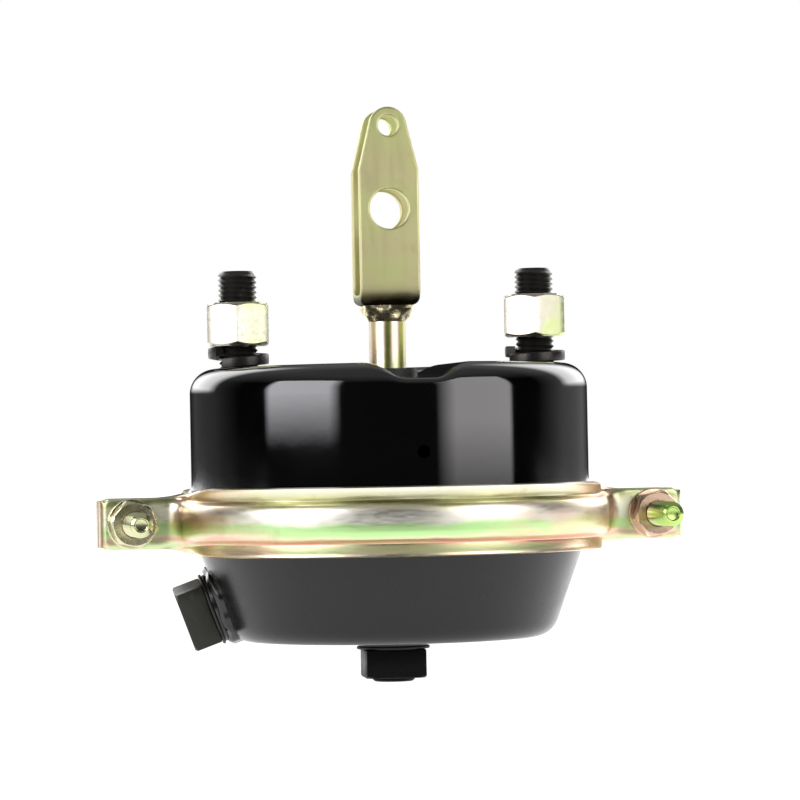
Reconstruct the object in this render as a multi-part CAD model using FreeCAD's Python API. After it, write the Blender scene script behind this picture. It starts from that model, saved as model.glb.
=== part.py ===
"""Diaphragm air brake chamber with a welded yoke, two mounting studs and a two-piece clamp band.

Millimetres, +Z up and along the pushrod. The origin is the centre of the mounting face, on the pushrod's
axis. -Y is the front, with the clamp's nuts, and the studs stand at -X and +X.
"""

import math
import os

import FreeCAD, Part

os.makedirs("parts", exist_ok=True)

V = FreeCAD.Vector
ORIGIN = V(0, 0, 0)
X, Y, Z = V(1, 0, 0), V(0, 1, 0), V(0, 0, 1)

# Clearances
FACE_GAP = 0.3
BOLT_GAP = 0.5
THREAD_GAP = 0.05
RUN_GAP = 0.06
REST_GAP = 0.2

# Can, the non-pressure housing
SHEET = 3.0
CAN_DEPTH = 61.0
CAN_CORNER_R = 10.0
DRAIN_R = 2.5
DRAIN_Z = -34.6
RECESS_R = 19.0
RECESS_DEPTH = 3.0
CHANNEL_DEPTH = 6.4
CHANNEL_HALF_W = 9.0
CHANNEL_SPREAD = 52.0
CHANNEL_ROUND = 5.0
ROD_HOLE_R = 12.0

# Dish, the pressure housing
DISH_DEPTH = 48.0
DISH_TAPER = 20.0
DISH_INSET = 3.5
DISH_TOP_DROP = 14.0
DISH_CORNER_R = 10.0

# Flanges and the diaphragm's bead between them
FLANGE_OUT = 4.7
FLANGE_EDGE = 1.1
FLANGE_FOOT_OUT = 1.2
FLANGE_FOOT_H = 6.8
FLANGE_RISE = 9.5
BEAD = 3.0
BEAD_WIDTH = 2.6
RUBBER = 3.2

# Push plate and pushrod
PLATE_INSET = 25.7
PLATE_T = 4.0
PLATE_EDGE_R = 5.0
PLATE_BOSS_R = 19.0
PLATE_BOSS_H = 5.0
ROD_R = 7.3
TENON_R = 5.5
RIVET_R = 10.0
RIVET_T = 3.0
WELD_FOOT_Z = 17.8

# Yoke
YOKE_BASE_Z = 24.3
YOKE_FOOT_CORNER = 2.6
YOKE_W = 24.0
YOKE_SHEET = 4.4
YOKE_GAP = 14.4
YOKE_BEND_R = 7.5
PIN_HOLE_R = 8.0
PIN_HOLE_Z = 62.7
TIP_HOLE_R = 4.1
TIP_HOLE_Z = 96.0
TIP_R = 7.5
SHOULDER_Z = 78.4
WELD_TOP_R = 11.4

# Return spring
WIRE_D = 5.0
SPRING_LOW_R = 25.0
SPRING_TOP_R = 38.0
SPRING_TURNS = 6.0

# Mounting studs, M16, with their pads, and the rod's guide, which is also the spring's upper seat
STUD_SPACING = 120.7
STUD_INSET = 19.35
STUD_R = 8.0
STUD_CORE_R = 7.45
STUD_TOP_Z = 38.8
STUD_TIP = 1.4
HEAD_R = 9.0
HEAD_T = 4.0
PAD_T = 3.0
PAD_HALF_W = 20.0
PAD_INNER = 16.35
PAD_OUTER = 8.85
GUIDE_TOP_Z = -1.0
GUIDE_SPIGOT_R = 11.5
GUIDE_HUB_R = 18.0
GUIDE_DISC_R = 46.0
GUIDE_DISC_T = 3.0
GUIDE_DISC_Z = -10.3

# Mounting nuts and spring washers
NUT_AF = 24.0
NUT_H = 17.2
NUT_LEFT_Z = 9.0
NUT_RIGHT_Z = 11.0
NUT_CHAMFER = 30.0
NUT_BEVEL = 0.6
NUT_TURN = 20.0
WASHER_WIDTH = 3.9
WASHER_H = 4.0
WASHER_RISE_LEFT = 4.8
WASHER_RISE_RIGHT = 3.4
WASHER_TURN = 345.0

# Clamp band
BAND_T = 2.2
BAND_FIT = 1.0
CROWN_HALF = 3.9
GROOVE_DROP = 4.4
GROOVE_Z = 8.0
LIP_DROP = 2.1
BAND_HALF = 13.1
LIP_END_DEG = 7.3
CROWN_END_DEG = 6.2

# Clamp ears with their bolts
EAR_REACH = 30.0
EAR_HALF_H = 10.2
EAR_SHOULDER = 8.6
EAR_FACE_Y = 10.8
EAR_FLANGE = 6.5
EAR_LIP_HALF_H = 7.2
EAR_LIP_GAP = 1.0
EAR_CORNER_R = 2.7
CLAMP_BOLT_REACH = 17.6
CLAMP_BOLT_R = 5.0
CLAMP_BOLT_OUT = 25.0
CLAMP_TIP = 1.5
CLAMP_NUT_AF = 17.0
CLAMP_NUT_H = 8.4
CLAMP_HEAD_H = 6.4
CLAMP_WASHER_R = 10.0
CLAMP_WASHER_T = 2.0

# Air ports and their plugs, M22
PORT_R = 11.0
BOSS_R = 14.0
BOSS_H = 3.0
BOSS_WELD_R = 16.6
BOSS_WELD_H = 2.0
SEAL_R = 14.7
SEAL_T = 1.2
PLUG_AF = 24.6
PLUG_HEAD_H = 11.4
PLUG_ROUND = 1.4
PLUG_NUB_R = 8.6
PLUG_NUB_H = 1.6
SIDE_PORT_DROP = 33.6
SIDE_PORT_DEG = 174.5

# Sizes that follow from the ones above
STUD_X = STUD_SPACING / 2
CAN_R = STUD_X + STUD_INSET
FLANGE_R = CAN_R + FLANGE_OUT
FLANGE_FOOT_R = CAN_R + FLANGE_FOOT_OUT
DISH_TOP_R = CAN_R - DISH_INSET
PLATE_R = CAN_R - PLATE_INSET
CROWN_R = FLANGE_R + BAND_FIT + BAND_T
GROOVE_R = CROWN_R - GROOVE_DROP
LIP_R = CROWN_R - LIP_DROP
EAR_TIP_X = CROWN_R + EAR_REACH
CLAMP_BOLT_X = CROWN_R + CLAMP_BOLT_REACH
MID_Z = -CAN_DEPTH
DISH_FLOOR_Z = MID_Z - DISH_DEPTH
CAN_INNER_R = CAN_R - SHEET
WALL_SLOPE = math.tan(math.radians(DISH_TAPER))
WALL_ACROSS = SHEET / math.cos(math.radians(DISH_TAPER))
DIAPHRAGM_Z = DISH_FLOOR_Z + SHEET + FACE_GAP
PLATE_Z = DIAPHRAGM_Z + RUBBER + FACE_GAP
PLATE_TOP_Z = PLATE_Z + PLATE_T
BOSS_TOP_Z = PLATE_TOP_Z + PLATE_BOSS_H
PAD_Z = -SHEET - PAD_T
GUIDE_LOW_Z = GUIDE_DISC_Z - GUIDE_DISC_T
HUB_TOP_Z = -RECESS_DEPTH - SHEET - REST_GAP
HEAD_Z = BOSS_H + SEAL_T
YOKE_HALF_DEPTH = YOKE_GAP / 2 + YOKE_SHEET


def dish_r(z):
    """The dish's outer radius on its tapered wall, at a height z."""
    return DISH_TOP_R + WALL_SLOPE * (z - MID_Z + DISH_TOP_DROP)


def rounded_wire(corners, place):
    """A closed wire through corners (u, v) or (u, v, radius), with an arc at each corner that has a radius."""
    points = [(c[0], c[1]) for c in corners]
    radii = [c[2] if len(c) > 2 else 0.0 for c in corners]
    edges, first, last = [], None, None
    count = len(points)
    for i in range(count):
        a, b, c = points[i - 1], points[i], points[(i + 1) % count]
        if radii[i] <= 0:
            start = end = b
            middle = None
        else:
            back = math.atan2(a[1] - b[1], a[0] - b[0])
            ahead = math.atan2(c[1] - b[1], c[0] - b[0])
            half = abs((ahead - back + math.pi) % (2 * math.pi) - math.pi) / 2
            reach = radii[i] / math.tan(half)
            start = (b[0] + reach * math.cos(back), b[1] + reach * math.sin(back))
            end = (b[0] + reach * math.cos(ahead), b[1] + reach * math.sin(ahead))
            mu, mv = (start[0] + end[0]) / 2 - b[0], (start[1] + end[1]) / 2 - b[1]
            size = math.hypot(mu, mv)
            out = radii[i] / math.sin(half) - radii[i]
            middle = (b[0] + mu / size * out, b[1] + mv / size * out)
        if last is not None and math.dist(last, start) > 1e-7:
            edges.append(Part.makeLine(place(*last), place(*start)))
        if middle is not None:
            edges.append(Part.Arc(place(*start), place(*middle), place(*end)).toShape())
        first = first or start
        last = end
    if math.dist(last, first) > 1e-7:
        edges.append(Part.makeLine(place(*last), place(*first)))
    return Part.Wire(edges)


def lathe(corners, angle=360.0, start=0.0):
    """A solid turned about +Z from corners (radius, height[, corner radius])."""
    face = Part.Face(rounded_wire(corners, lambda r, z: V(r, 0, z)))
    solid = face.revolve(ORIGIN, Z, angle)
    solid.rotate(ORIGIN, Z, start)
    return solid


def slab(corners, place, along):
    """A solid pushed from a flat outline by the vector along."""
    return Part.Face(rounded_wire(corners, place)).extrude(along)


def rod(radius, low, high, at=ORIGIN, along=Z):
    """A round bar on an axis through at, from low to high along it."""
    return Part.makeCylinder(radius, high - low, at + along * low, along)


def hexagon(across_flats, height, turn):
    """A hexagonal bar standing on z = 0."""
    corner = across_flats / 2 / math.cos(math.pi / 6)
    angles = [math.radians(turn + 60 * i) for i in range(6)]
    points = [(corner * math.cos(a), corner * math.sin(a)) for a in angles]
    return slab(points, lambda x, y: V(x, y, 0), Z * height)


def nut(across_flats, height, bore, turn):
    """A hexagon nut on z = 0, chamfered at both ends and along its bore."""
    corner = across_flats / 2 / math.cos(math.pi / 6)
    fall = (corner - across_flats / 2) * math.tan(math.radians(NUT_CHAMFER))
    flat = across_flats / 2 * 0.97
    drop = fall * (corner - flat) / (corner - across_flats / 2)
    bevel = NUT_BEVEL
    envelope = lathe([
        (bore + bevel, 0),
        (flat, 0),
        (corner, drop),
        (corner, height - drop),
        (flat, height),
        (bore + bevel, height),
        (bore, height - bevel),
        (bore, bevel),
    ])
    return hexagon(across_flats, height, turn).common(envelope)


def placed(shape, at, along=Z):
    """A shape built on z = 0 about +Z, moved so that +Z points along and the origin is at."""
    moved = shape.copy()
    moved.Placement = FreeCAD.Placement(at, FreeCAD.Rotation(Z, along)).multiply(moved.Placement)
    return moved


def mirrored_front(shape):
    """The shape's mirror image behind the XZ plane."""
    return shape.mirror(ORIGIN, Y)


def save(name, *solids):
    """Writes the solids of one node and checks that each is whole."""
    for solid in solids:
        if not solid.isValid() or solid.Volume <= 0 or len(solid.Solids) != 1:
            raise ValueError(name + " isn't one whole solid")
    whole = solids[0] if len(solids) == 1 else Part.makeCompound(list(solids))
    whole.exportStep("parts/" + name + ".step")


def drain_relief(grow):
    """What is pressed out of the can's end: a round recess and the channel that drains it to the front."""
    spread = math.radians(CHANNEL_SPREAD)
    fall = math.atan2(CHANNEL_DEPTH - RECESS_DEPTH, CAN_R)
    along = V(0, -math.cos(fall), -math.sin(fall))
    lift = V(0, -math.sin(fall), math.cos(fall))
    half = CHANNEL_HALF_W + grow * math.tan((math.pi / 2 - spread) / 2)
    height = 3 * CHANNEL_DEPTH
    top = half + (height + grow) * math.tan(spread)
    start = V(0, 0, -RECESS_DEPTH)
    channel = slab([
        (-half, -grow, CHANNEL_ROUND + grow),
        (half, -grow, CHANNEL_ROUND + grow),
        (top, height),
        (-top, height),
    ], lambda x, v: V(x, 0, 0) + start + lift * v, along * (2 * CAN_R))
    foot = RECESS_R + grow * math.tan(math.pi / 8)
    rise = 2 * RECESS_DEPTH + grow
    recess = lathe([(0, -RECESS_DEPTH - grow), (foot, -RECESS_DEPTH - grow), (foot + rise, RECESS_DEPTH),
                    (0, RECESS_DEPTH)])
    return channel.fuse(recess)


def flange(inner_r, inner_rise, wall_r, wall_inner_r, side):
    """The pressed flange that leads from a housing's wall to the clamp, above or below the bead."""
    low = BEAD / 2
    corners = [
        (FLANGE_R - BEAD_WIDTH, low),
        (FLANGE_R, low),
        (FLANGE_R, low + FLANGE_EDGE),
        (FLANGE_FOOT_R, FLANGE_FOOT_H),
        (wall_r, FLANGE_RISE),
        (wall_inner_r, FLANGE_RISE),
        (inner_r, inner_rise),
    ]
    return lathe([(r, MID_Z + side * z) for r, z in corners])


def non_pressure_housing():
    """The can: an end face with its drain relief, a straight wall, and the flange under the clamp."""
    rise = MID_Z + FLANGE_RISE
    outer = lathe([(0, rise), (CAN_R, rise), (CAN_R, 0, CAN_CORNER_R), (0, 0)])
    inner = lathe([(0, rise), (CAN_INNER_R, rise), (CAN_INNER_R, -SHEET, CAN_CORNER_R - SHEET),
                   (0, -SHEET)])
    can = outer.cut(drain_relief(0)).cut(inner.cut(drain_relief(SHEET)))
    can = can.cut(rod(ROD_HOLE_R, -4 * SHEET, SHEET))
    can = can.fuse(flange(CAN_INNER_R, FLANGE_FOOT_H, CAN_R, CAN_INNER_R, 1))
    for side in (-1, 1):
        can = can.cut(rod(STUD_CORE_R + REST_GAP, -2 * SHEET, SHEET, V(side * STUD_X, 0, 0)))
    can = can.cut(rod(DRAIN_R, 0, 2 * CAN_R, V(0, 0, DRAIN_Z), V(0, -1, 0)))
    return can.removeSplitter()


def side_port_axis():
    """Where the side port's axis meets the dish's wall, and its outward direction."""
    turn = math.radians(SIDE_PORT_DEG)
    fall = math.radians(DISH_TAPER)
    z = MID_Z - SIDE_PORT_DROP
    at = V(dish_r(z) * math.cos(turn), dish_r(z) * math.sin(turn), z)
    out = V(math.cos(fall) * math.cos(turn), math.cos(fall) * math.sin(turn), -math.sin(fall))
    return at, out


def bottom_port_axis():
    """Where the bottom port's axis meets the dish's floor, and its outward direction."""
    return V(0, 0, DISH_FLOOR_Z), V(0, 0, -1)


def dish_envelope():
    """The dish's outside as a full body, without its flange."""
    top = MID_Z - DISH_TOP_DROP / 2
    return lathe([(0, top), (dish_r(top), top), (dish_r(DISH_FLOOR_Z), DISH_FLOOR_Z, DISH_CORNER_R),
                  (0, DISH_FLOOR_Z)])


def pressure_housing():
    """The dish: a tapered wall and a flat floor with both port holes, and the flange under the clamp."""
    rise = MID_Z - FLANGE_RISE
    floor = DISH_FLOOR_Z + SHEET
    shell = lathe([
        (0, DISH_FLOOR_Z),
        (dish_r(DISH_FLOOR_Z), DISH_FLOOR_Z, DISH_CORNER_R),
        (dish_r(rise), rise),
        (dish_r(rise) - WALL_ACROSS, rise),
        (dish_r(floor) - WALL_ACROSS, floor, DISH_CORNER_R - SHEET),
        (0, floor),
    ])
    inner = dish_r(rise) - WALL_ACROSS
    dish = shell.fuse(flange(inner + BEAD_WIDTH, FLANGE_FOOT_H - BEAD / 2, dish_r(rise), inner, -1))
    for at, out in (side_port_axis(), bottom_port_axis()):
        dish = dish.cut(rod(PORT_R + REST_GAP, -3 * SHEET, SHEET, at, out))
    return dish.removeSplitter()


def diaphragm():
    """The rubber diaphragm, let down into the dish, with its bead between the flanges."""
    rise = MID_Z - FLANGE_RISE
    slack = FACE_GAP / math.cos(math.radians(DISH_TAPER))
    thick = RUBBER / math.cos(math.radians(DISH_TAPER))
    outer_top = dish_r(rise) - WALL_ACROSS - slack
    floor = DIAPHRAGM_Z
    outer_low = dish_r(floor) - WALL_ACROSS - slack
    corner = DISH_CORNER_R - SHEET
    half = BEAD / 2
    return lathe([
        (0, floor),
        (outer_low, floor, corner),
        (outer_top, rise),
        (outer_top + BEAD_WIDTH - FACE_GAP, MID_Z - half - FACE_GAP),
        (FLANGE_R - BEAD_WIDTH, MID_Z - half),
        (FLANGE_R - FACE_GAP, MID_Z - half),
        (FLANGE_R - FACE_GAP, MID_Z + half),
        (outer_top, MID_Z + half, RUBBER),
        (outer_top - thick, rise),
        (outer_low - thick, floor + RUBBER, corner - RUBBER / 2),
        (0, floor + RUBBER),
    ])


def push_plate():
    """The stamped plate that the diaphragm pushes, raised at its middle to hold the rod's riveted foot."""
    boss_inner = PLATE_BOSS_R - PLATE_T / 2
    hole_r = TENON_R + RUN_GAP
    return lathe([
        (hole_r, BOSS_TOP_Z - PLATE_T),
        (boss_inner - PLATE_T, BOSS_TOP_Z - PLATE_T),
        (boss_inner, PLATE_Z),
        (PLATE_R, PLATE_Z, PLATE_T / 2),
        (PLATE_R, PLATE_TOP_Z + PLATE_EDGE_R - PLATE_T),
        (PLATE_R - PLATE_T / 2, PLATE_TOP_Z + PLATE_EDGE_R - PLATE_T),
        (PLATE_R - PLATE_EDGE_R, PLATE_TOP_Z),
        (PLATE_BOSS_R + PLATE_T / 2, PLATE_TOP_Z),
        (PLATE_BOSS_R - PLATE_T / 2, BOSS_TOP_Z),
        (hole_r, BOSS_TOP_Z),
    ])


def pushrod():
    """The round rod from the push plate to the yoke, with its riveted tenon under the plate."""
    under = BOSS_TOP_Z - PLATE_T - RUN_GAP
    shoulder = BOSS_TOP_Z + RUN_GAP
    return lathe([
        (0, under - RIVET_T),
        (RIVET_R - 1, under - RIVET_T),
        (RIVET_R, under - RIVET_T / 2),
        (RIVET_R, under),
        (TENON_R, under),
        (TENON_R, shoulder),
        (ROD_R, shoulder),
        (ROD_R, YOKE_BASE_Z),
        (0, YOKE_BASE_Z),
    ])


def yoke_weld():
    """The weld collar between the rod and the underside of the yoke."""
    middle = (WELD_FOOT_Z + YOKE_BASE_Z) / 2
    return lathe([
        (ROD_R, WELD_FOOT_Z),
        (ROD_R + 0.9, WELD_FOOT_Z + 0.6),
        ((ROD_R + WELD_TOP_R) / 2 + 0.5, middle),
        (WELD_TOP_R, YOKE_BASE_Z - 0.8),
        (WELD_TOP_R, YOKE_BASE_Z),
        (ROD_R, YOKE_BASE_Z),
    ])


def yoke():
    """The strap bent to a U: two ears with a pin hole and a tip hole each."""
    half, top = YOKE_HALF_DEPTH, TIP_HOLE_Z + TIP_R
    inner = half - YOKE_SHEET
    floor = YOKE_BASE_Z + YOKE_SHEET
    strap = slab([
        (-half, YOKE_BASE_Z, YOKE_BEND_R),
        (half, YOKE_BASE_Z, YOKE_BEND_R),
        (half, top),
        (inner, top),
        (inner, floor, YOKE_BEND_R - YOKE_SHEET),
        (-inner, floor, YOKE_BEND_R - YOKE_SHEET),
        (-inner, top),
        (-half, top),
    ], lambda y, z: V(-YOKE_W / 2, y, z), X * YOKE_W)
    rise = TIP_HOLE_Z - SHOULDER_Z
    across = YOKE_W / 2
    reach = math.hypot(across, rise)
    lean = math.atan2(rise, across) + math.acos(TIP_R / reach)
    tangent = (TIP_R * math.cos(math.pi - lean), TIP_HOLE_Z + TIP_R * math.sin(math.pi - lean))
    outline = [
        (-across, YOKE_BASE_Z, YOKE_FOOT_CORNER),
        (across, YOKE_BASE_Z, YOKE_FOOT_CORNER),
        (across, SHOULDER_Z),
        (-across, SHOULDER_Z),
    ]
    ears = slab(outline, lambda x, z: V(x, -half - 1, z), Y * (2 * half + 2))
    taper = slab([
        (-across, SHOULDER_Z),
        (across, SHOULDER_Z),
        (tangent[0], tangent[1]),
        (-tangent[0], tangent[1]),
    ], lambda x, z: V(x, -half - 1, z), Y * (2 * half + 2))
    tip = rod(TIP_R, -half - 1, half + 1, V(0, 0, TIP_HOLE_Z), Y)
    body = strap.common(ears.fuse(taper).fuse(tip).removeSplitter())
    for radius, z in ((PIN_HOLE_R, PIN_HOLE_Z), (TIP_HOLE_R, TIP_HOLE_Z)):
        body = body.cut(rod(radius, -half - 1, half + 1, V(0, 0, z), Y))
    return body.removeSplitter()


def return_spring():
    """The conical return spring, wide end up."""
    low = PLATE_TOP_Z + WIRE_D / 2 + REST_GAP
    high = GUIDE_LOW_Z - WIRE_D / 2 - REST_GAP
    points = []
    steps = round(SPRING_TURNS * 24)
    for i in range(steps + 1):
        part = i / steps
        turn = 2 * math.pi * SPRING_TURNS * part
        radius = SPRING_LOW_R + (SPRING_TOP_R - SPRING_LOW_R) * part
        points.append(V(radius * math.cos(turn), radius * math.sin(turn), low + (high - low) * part))
    path = Part.BSplineCurve()
    path.interpolate(points)
    wire = Part.Wire([Part.makeCircle(WIRE_D / 2, points[0], path.tangent(path.FirstParameter)[0])])
    return Part.Wire([path.toShape()]).makePipeShell([wire], True, True)


def stud_pad(side):
    """The pad inside the can's end that a stud's head bears on."""
    pad = rod(STUD_X + PAD_OUTER, PAD_Z, -SHEET)
    length = PAD_INNER + STUD_INSET
    low = STUD_X - PAD_INNER if side > 0 else -CAN_R
    pad = pad.common(Part.makeBox(length, 2 * PAD_HALF_W, PAD_T, V(low, -PAD_HALF_W, PAD_Z)))
    return pad.cut(rod(STUD_CORE_R + REST_GAP, -CAN_DEPTH, CAN_DEPTH, V(side * STUD_X, 0, 0)))


def rod_guide():
    """The moulded guide: a spigot in the can's end for the rod and a wide disc for the spring."""
    bore = ROD_R + RUN_GAP
    hub = lathe([
        (bore, GUIDE_LOW_Z),
        (GUIDE_DISC_R, GUIDE_LOW_Z),
        (GUIDE_DISC_R, GUIDE_DISC_Z),
        (GUIDE_HUB_R, GUIDE_DISC_Z),
        (GUIDE_HUB_R, HUB_TOP_Z),
        (bore, HUB_TOP_Z),
    ])
    spigot = rod(GUIDE_SPIGOT_R, GUIDE_DISC_Z, GUIDE_TOP_Z).cut(rod(bore, GUIDE_LOW_Z, 0))
    return hub.cut(drain_relief(SHEET + REST_GAP)).fuse(spigot).removeSplitter()


def stud(nut_top):
    """A mounting stud with its head inside the can, thicker where its end stands free above the nut."""
    return lathe([
        (0, PAD_Z - HEAD_T),
        (HEAD_R - 1, PAD_Z - HEAD_T),
        (HEAD_R, PAD_Z - HEAD_T + 1),
        (HEAD_R, PAD_Z),
        (STUD_CORE_R, PAD_Z),
        (STUD_CORE_R, nut_top + FACE_GAP),
        (STUD_R, nut_top + FACE_GAP),
        (STUD_R, STUD_TOP_Z - STUD_TIP),
        (STUD_R - STUD_TIP, STUD_TOP_Z),
        (0, STUD_TOP_Z),
    ])


def spring_washer(rise, turn):
    """A split spring washer lying open on z = 0: one turn of square wire that climbs by rise."""
    mean = STUD_R + REST_GAP + WASHER_WIDTH / 2
    path = Part.makeHelix(rise * 360 / WASHER_TURN, rise, mean)
    half = WASHER_WIDTH / 2
    section = rounded_wire([(-half, 0), (half, 0), (half, WASHER_H), (-half, WASHER_H)],
                           lambda u, v: V(mean + u, 0, v))
    washer = Part.Wire(path.Edges).makePipeShell([section], True, True)
    washer.rotate(ORIGIN, Z, turn)
    return washer


def band_section(z_limit):
    """The clamp band's section up to z_limit each side of its middle, as corners for the lathe."""
    lean = BAND_T * 0.7
    outer = [(CROWN_R, 0.0), (CROWN_R - 0.1, CROWN_HALF), (CROWN_R - 1.6, GROOVE_Z - 1.4)]
    outer += [(GROOVE_R, GROOVE_Z), (GROOVE_R, GROOVE_Z + 0.9), (LIP_R - 0.5, BAND_HALF - 1.7)]
    outer += [(LIP_R, BAND_HALF)]
    inner = [(CROWN_R - BAND_T, 0.0), (CROWN_R - BAND_T - 0.1, CROWN_HALF - 0.5)]
    inner += [(CROWN_R - BAND_T - 0.8, GROOVE_Z - 3.0), (GROOVE_R - lean, GROOVE_Z - lean)]
    inner += [(GROOVE_R - BAND_T, GROOVE_Z), (GROOVE_R - BAND_T, GROOVE_Z + 1.4)]
    inner += [(LIP_R - 0.5 - BAND_T, BAND_HALF - 1.1), (LIP_R - BAND_T, BAND_HALF)]
    upper = [p for p in outer if p[1] <= z_limit] + [p for p in reversed(inner) if p[1] <= z_limit]
    lower = [(r, -z) for r, z in reversed(upper)]
    return [(r, MID_Z + z) for r, z in lower[:-1] + upper]


def band_arc(z_limit, end_deg):
    """The band's section swept round the front, to end_deg short of the X axis at each side."""
    return lathe(band_section(z_limit), 180 - 2 * end_deg, 180 + end_deg)


def clamp_ear(side):
    """One ear of the front half: a channel that runs out from the crown, closed by a lip at its tip."""
    start = (CROWN_R - BAND_T) * 0.97
    neck = CROWN_R + EAR_SHOULDER
    shoulder = [(start, BAND_HALF), (LIP_R, BAND_HALF), (CROWN_R + 1.4, BAND_HALF - 1.5)]
    shoulder += [(neck, EAR_HALF_H, 6.0)]
    outline = [(x, -z, *r) for x, z, *r in shoulder]
    outline += [(EAR_TIP_X, -EAR_HALF_H, EAR_CORNER_R), (EAR_TIP_X, EAR_HALF_H, EAR_CORNER_R)]
    outline += list(reversed(shoulder))
    back = EAR_FACE_Y - BAND_T
    web = slab(outline, lambda x, z: V(side * x, -EAR_FACE_Y, MID_Z + z), Y * BAND_T)
    ear = web
    length = EAR_TIP_X - EAR_CORNER_R - start
    for z in (-EAR_HALF_H, EAR_HALF_H - BAND_T):
        low = min(side * start, side * (EAR_TIP_X - EAR_CORNER_R))
        rim = Part.makeBox(length, EAR_FLANGE, BAND_T, V(low, -back - BAND_T / 2, MID_Z + z))
        ear = ear.fuse(rim)
    low = min(side * EAR_TIP_X, side * (EAR_TIP_X - BAND_T))
    lip = Part.makeBox(BAND_T, EAR_FACE_Y - EAR_LIP_GAP - BAND_T / 2, 2 * EAR_LIP_HALF_H,
                       V(low, -EAR_FACE_Y + BAND_T / 2, MID_Z - EAR_LIP_HALF_H))
    ear = ear.fuse(lip)
    ear = ear.cut(rod(CROWN_R - BAND_T, MID_Z - GROOVE_Z, MID_Z + GROOVE_Z))
    ear = ear.cut(rod(LIP_R - BAND_T, MID_Z - CAN_DEPTH / 2, MID_Z + CAN_DEPTH / 2))
    hole = rod(CLAMP_BOLT_R + BOLT_GAP, -2 * EAR_FACE_Y, 0, V(side * CLAMP_BOLT_X, 0, MID_Z), Y)
    return ear.cut(hole)


def clamp_half():
    """The front half of the clamp band with both ears."""
    half = band_arc(BAND_HALF, LIP_END_DEG).fuse(band_arc(GROOVE_Z, CROWN_END_DEG))
    for side in (-1, 1):
        half = half.fuse(clamp_ear(side))
    return half.removeSplitter()


def clamp_bolt(side):
    """A hexagon bolt through both ears, head behind and long thread in front."""
    head_y = EAR_FACE_Y
    front = EAR_FACE_Y + CLAMP_WASHER_T + CLAMP_NUT_H + CLAMP_BOLT_OUT
    at = V(side * CLAMP_BOLT_X, head_y, MID_Z)
    bolt_r = CLAMP_BOLT_R - THREAD_GAP
    shank = lathe([(0, -1), (bolt_r, -1), (bolt_r, head_y + front - CLAMP_TIP),
                   (bolt_r - CLAMP_TIP, head_y + front), (0, head_y + front)])
    corner = CLAMP_NUT_AF / 2 / math.cos(math.pi / 6)
    cap = lathe([(0, 0), (corner, 0), (corner, CLAMP_HEAD_H - 1.2), (CLAMP_NUT_AF / 2 * 0.96, CLAMP_HEAD_H),
                 (0, CLAMP_HEAD_H)])
    head = hexagon(CLAMP_NUT_AF, CLAMP_HEAD_H, 0).common(cap)
    bolt = placed(shank, at, V(0, -1, 0)).fuse(placed(head, at, Y))
    return bolt.removeSplitter()


def clamp_washer(side):
    """A flat washer between an ear and its nut."""
    ring = lathe([
        (CLAMP_BOLT_R + THREAD_GAP, 0),
        (CLAMP_WASHER_R, 0, 0.4),
        (CLAMP_WASHER_R, CLAMP_WASHER_T, 0.4),
        (CLAMP_BOLT_R + THREAD_GAP, CLAMP_WASHER_T),
    ])
    return placed(ring, V(side * CLAMP_BOLT_X, -EAR_FACE_Y, MID_Z), V(0, -1, 0))


def clamp_nut(side):
    """A hexagon nut in front of an ear."""
    made = nut(CLAMP_NUT_AF, CLAMP_NUT_H, CLAMP_BOLT_R + THREAD_GAP, 12 * side)
    return placed(made, V(side * CLAMP_BOLT_X, -EAR_FACE_Y - CLAMP_WASHER_T, MID_Z), V(0, -1, 0))


def port_boss(axis):
    """The threaded boss that stands on the dish at a port."""
    at, out = axis
    boss = rod(BOSS_R, -2 * BOSS_H, BOSS_H, at, out).cut(dish_envelope())
    return boss.cut(rod(PORT_R + THREAD_GAP, -3 * BOSS_H, 2 * BOSS_H, at, out))


def port_weld(axis):
    """The fillet weld round a boss."""
    at, out = axis
    bead = lathe([
        (BOSS_R, -2 * BOSS_H),
        (BOSS_WELD_R, -2 * BOSS_H),
        (BOSS_WELD_R, BOSS_WELD_H / 3),
        (BOSS_R + (BOSS_WELD_R - BOSS_R) * 0.6, BOSS_WELD_H * 0.8),
        (BOSS_R, BOSS_WELD_H),
    ])
    return placed(bead, at, out).cut(dish_envelope())


def plug_seal(axis):
    """The sealing ring between a boss and its plug's head."""
    at, out = axis
    ring = lathe([
        (PORT_R + THREAD_GAP, BOSS_H),
        (SEAL_R, BOSS_H, SEAL_T / 3),
        (SEAL_R, HEAD_Z, SEAL_T / 3),
        (PORT_R + THREAD_GAP, HEAD_Z),
    ])
    return placed(ring, at, out)


def port_plug(axis, turn, nub):
    """A square-headed plug screwed into a boss, with a round nub on its head where nub is true."""
    at, out = axis
    half = PLUG_AF / 2
    square = [(-half, -half, PLUG_ROUND), (half, -half, PLUG_ROUND), (half, half, PLUG_ROUND),
              (-half, half, PLUG_ROUND)]
    head = slab(square, lambda x, y: V(x, y, HEAD_Z), Z * PLUG_HEAD_H)
    reach = half * math.sqrt(2)
    top = HEAD_Z + PLUG_HEAD_H
    head = head.common(lathe([(0, 0), (reach, 0), (reach, top - 0.8), (reach - 2.4, top), (0, top)]))
    plug = head.fuse(rod(PORT_R, -SHEET + REST_GAP, HEAD_Z))
    if nub:
        plug = plug.fuse(lathe([(0, top), (PLUG_NUB_R, top), (PLUG_NUB_R, top + PLUG_NUB_H / 2),
                                (PLUG_NUB_R - 1, top + PLUG_NUB_H), (0, top + PLUG_NUB_H)]))
    plug.rotate(ORIGIN, Z, turn)
    return placed(plug, at, out).removeSplitter()


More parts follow.
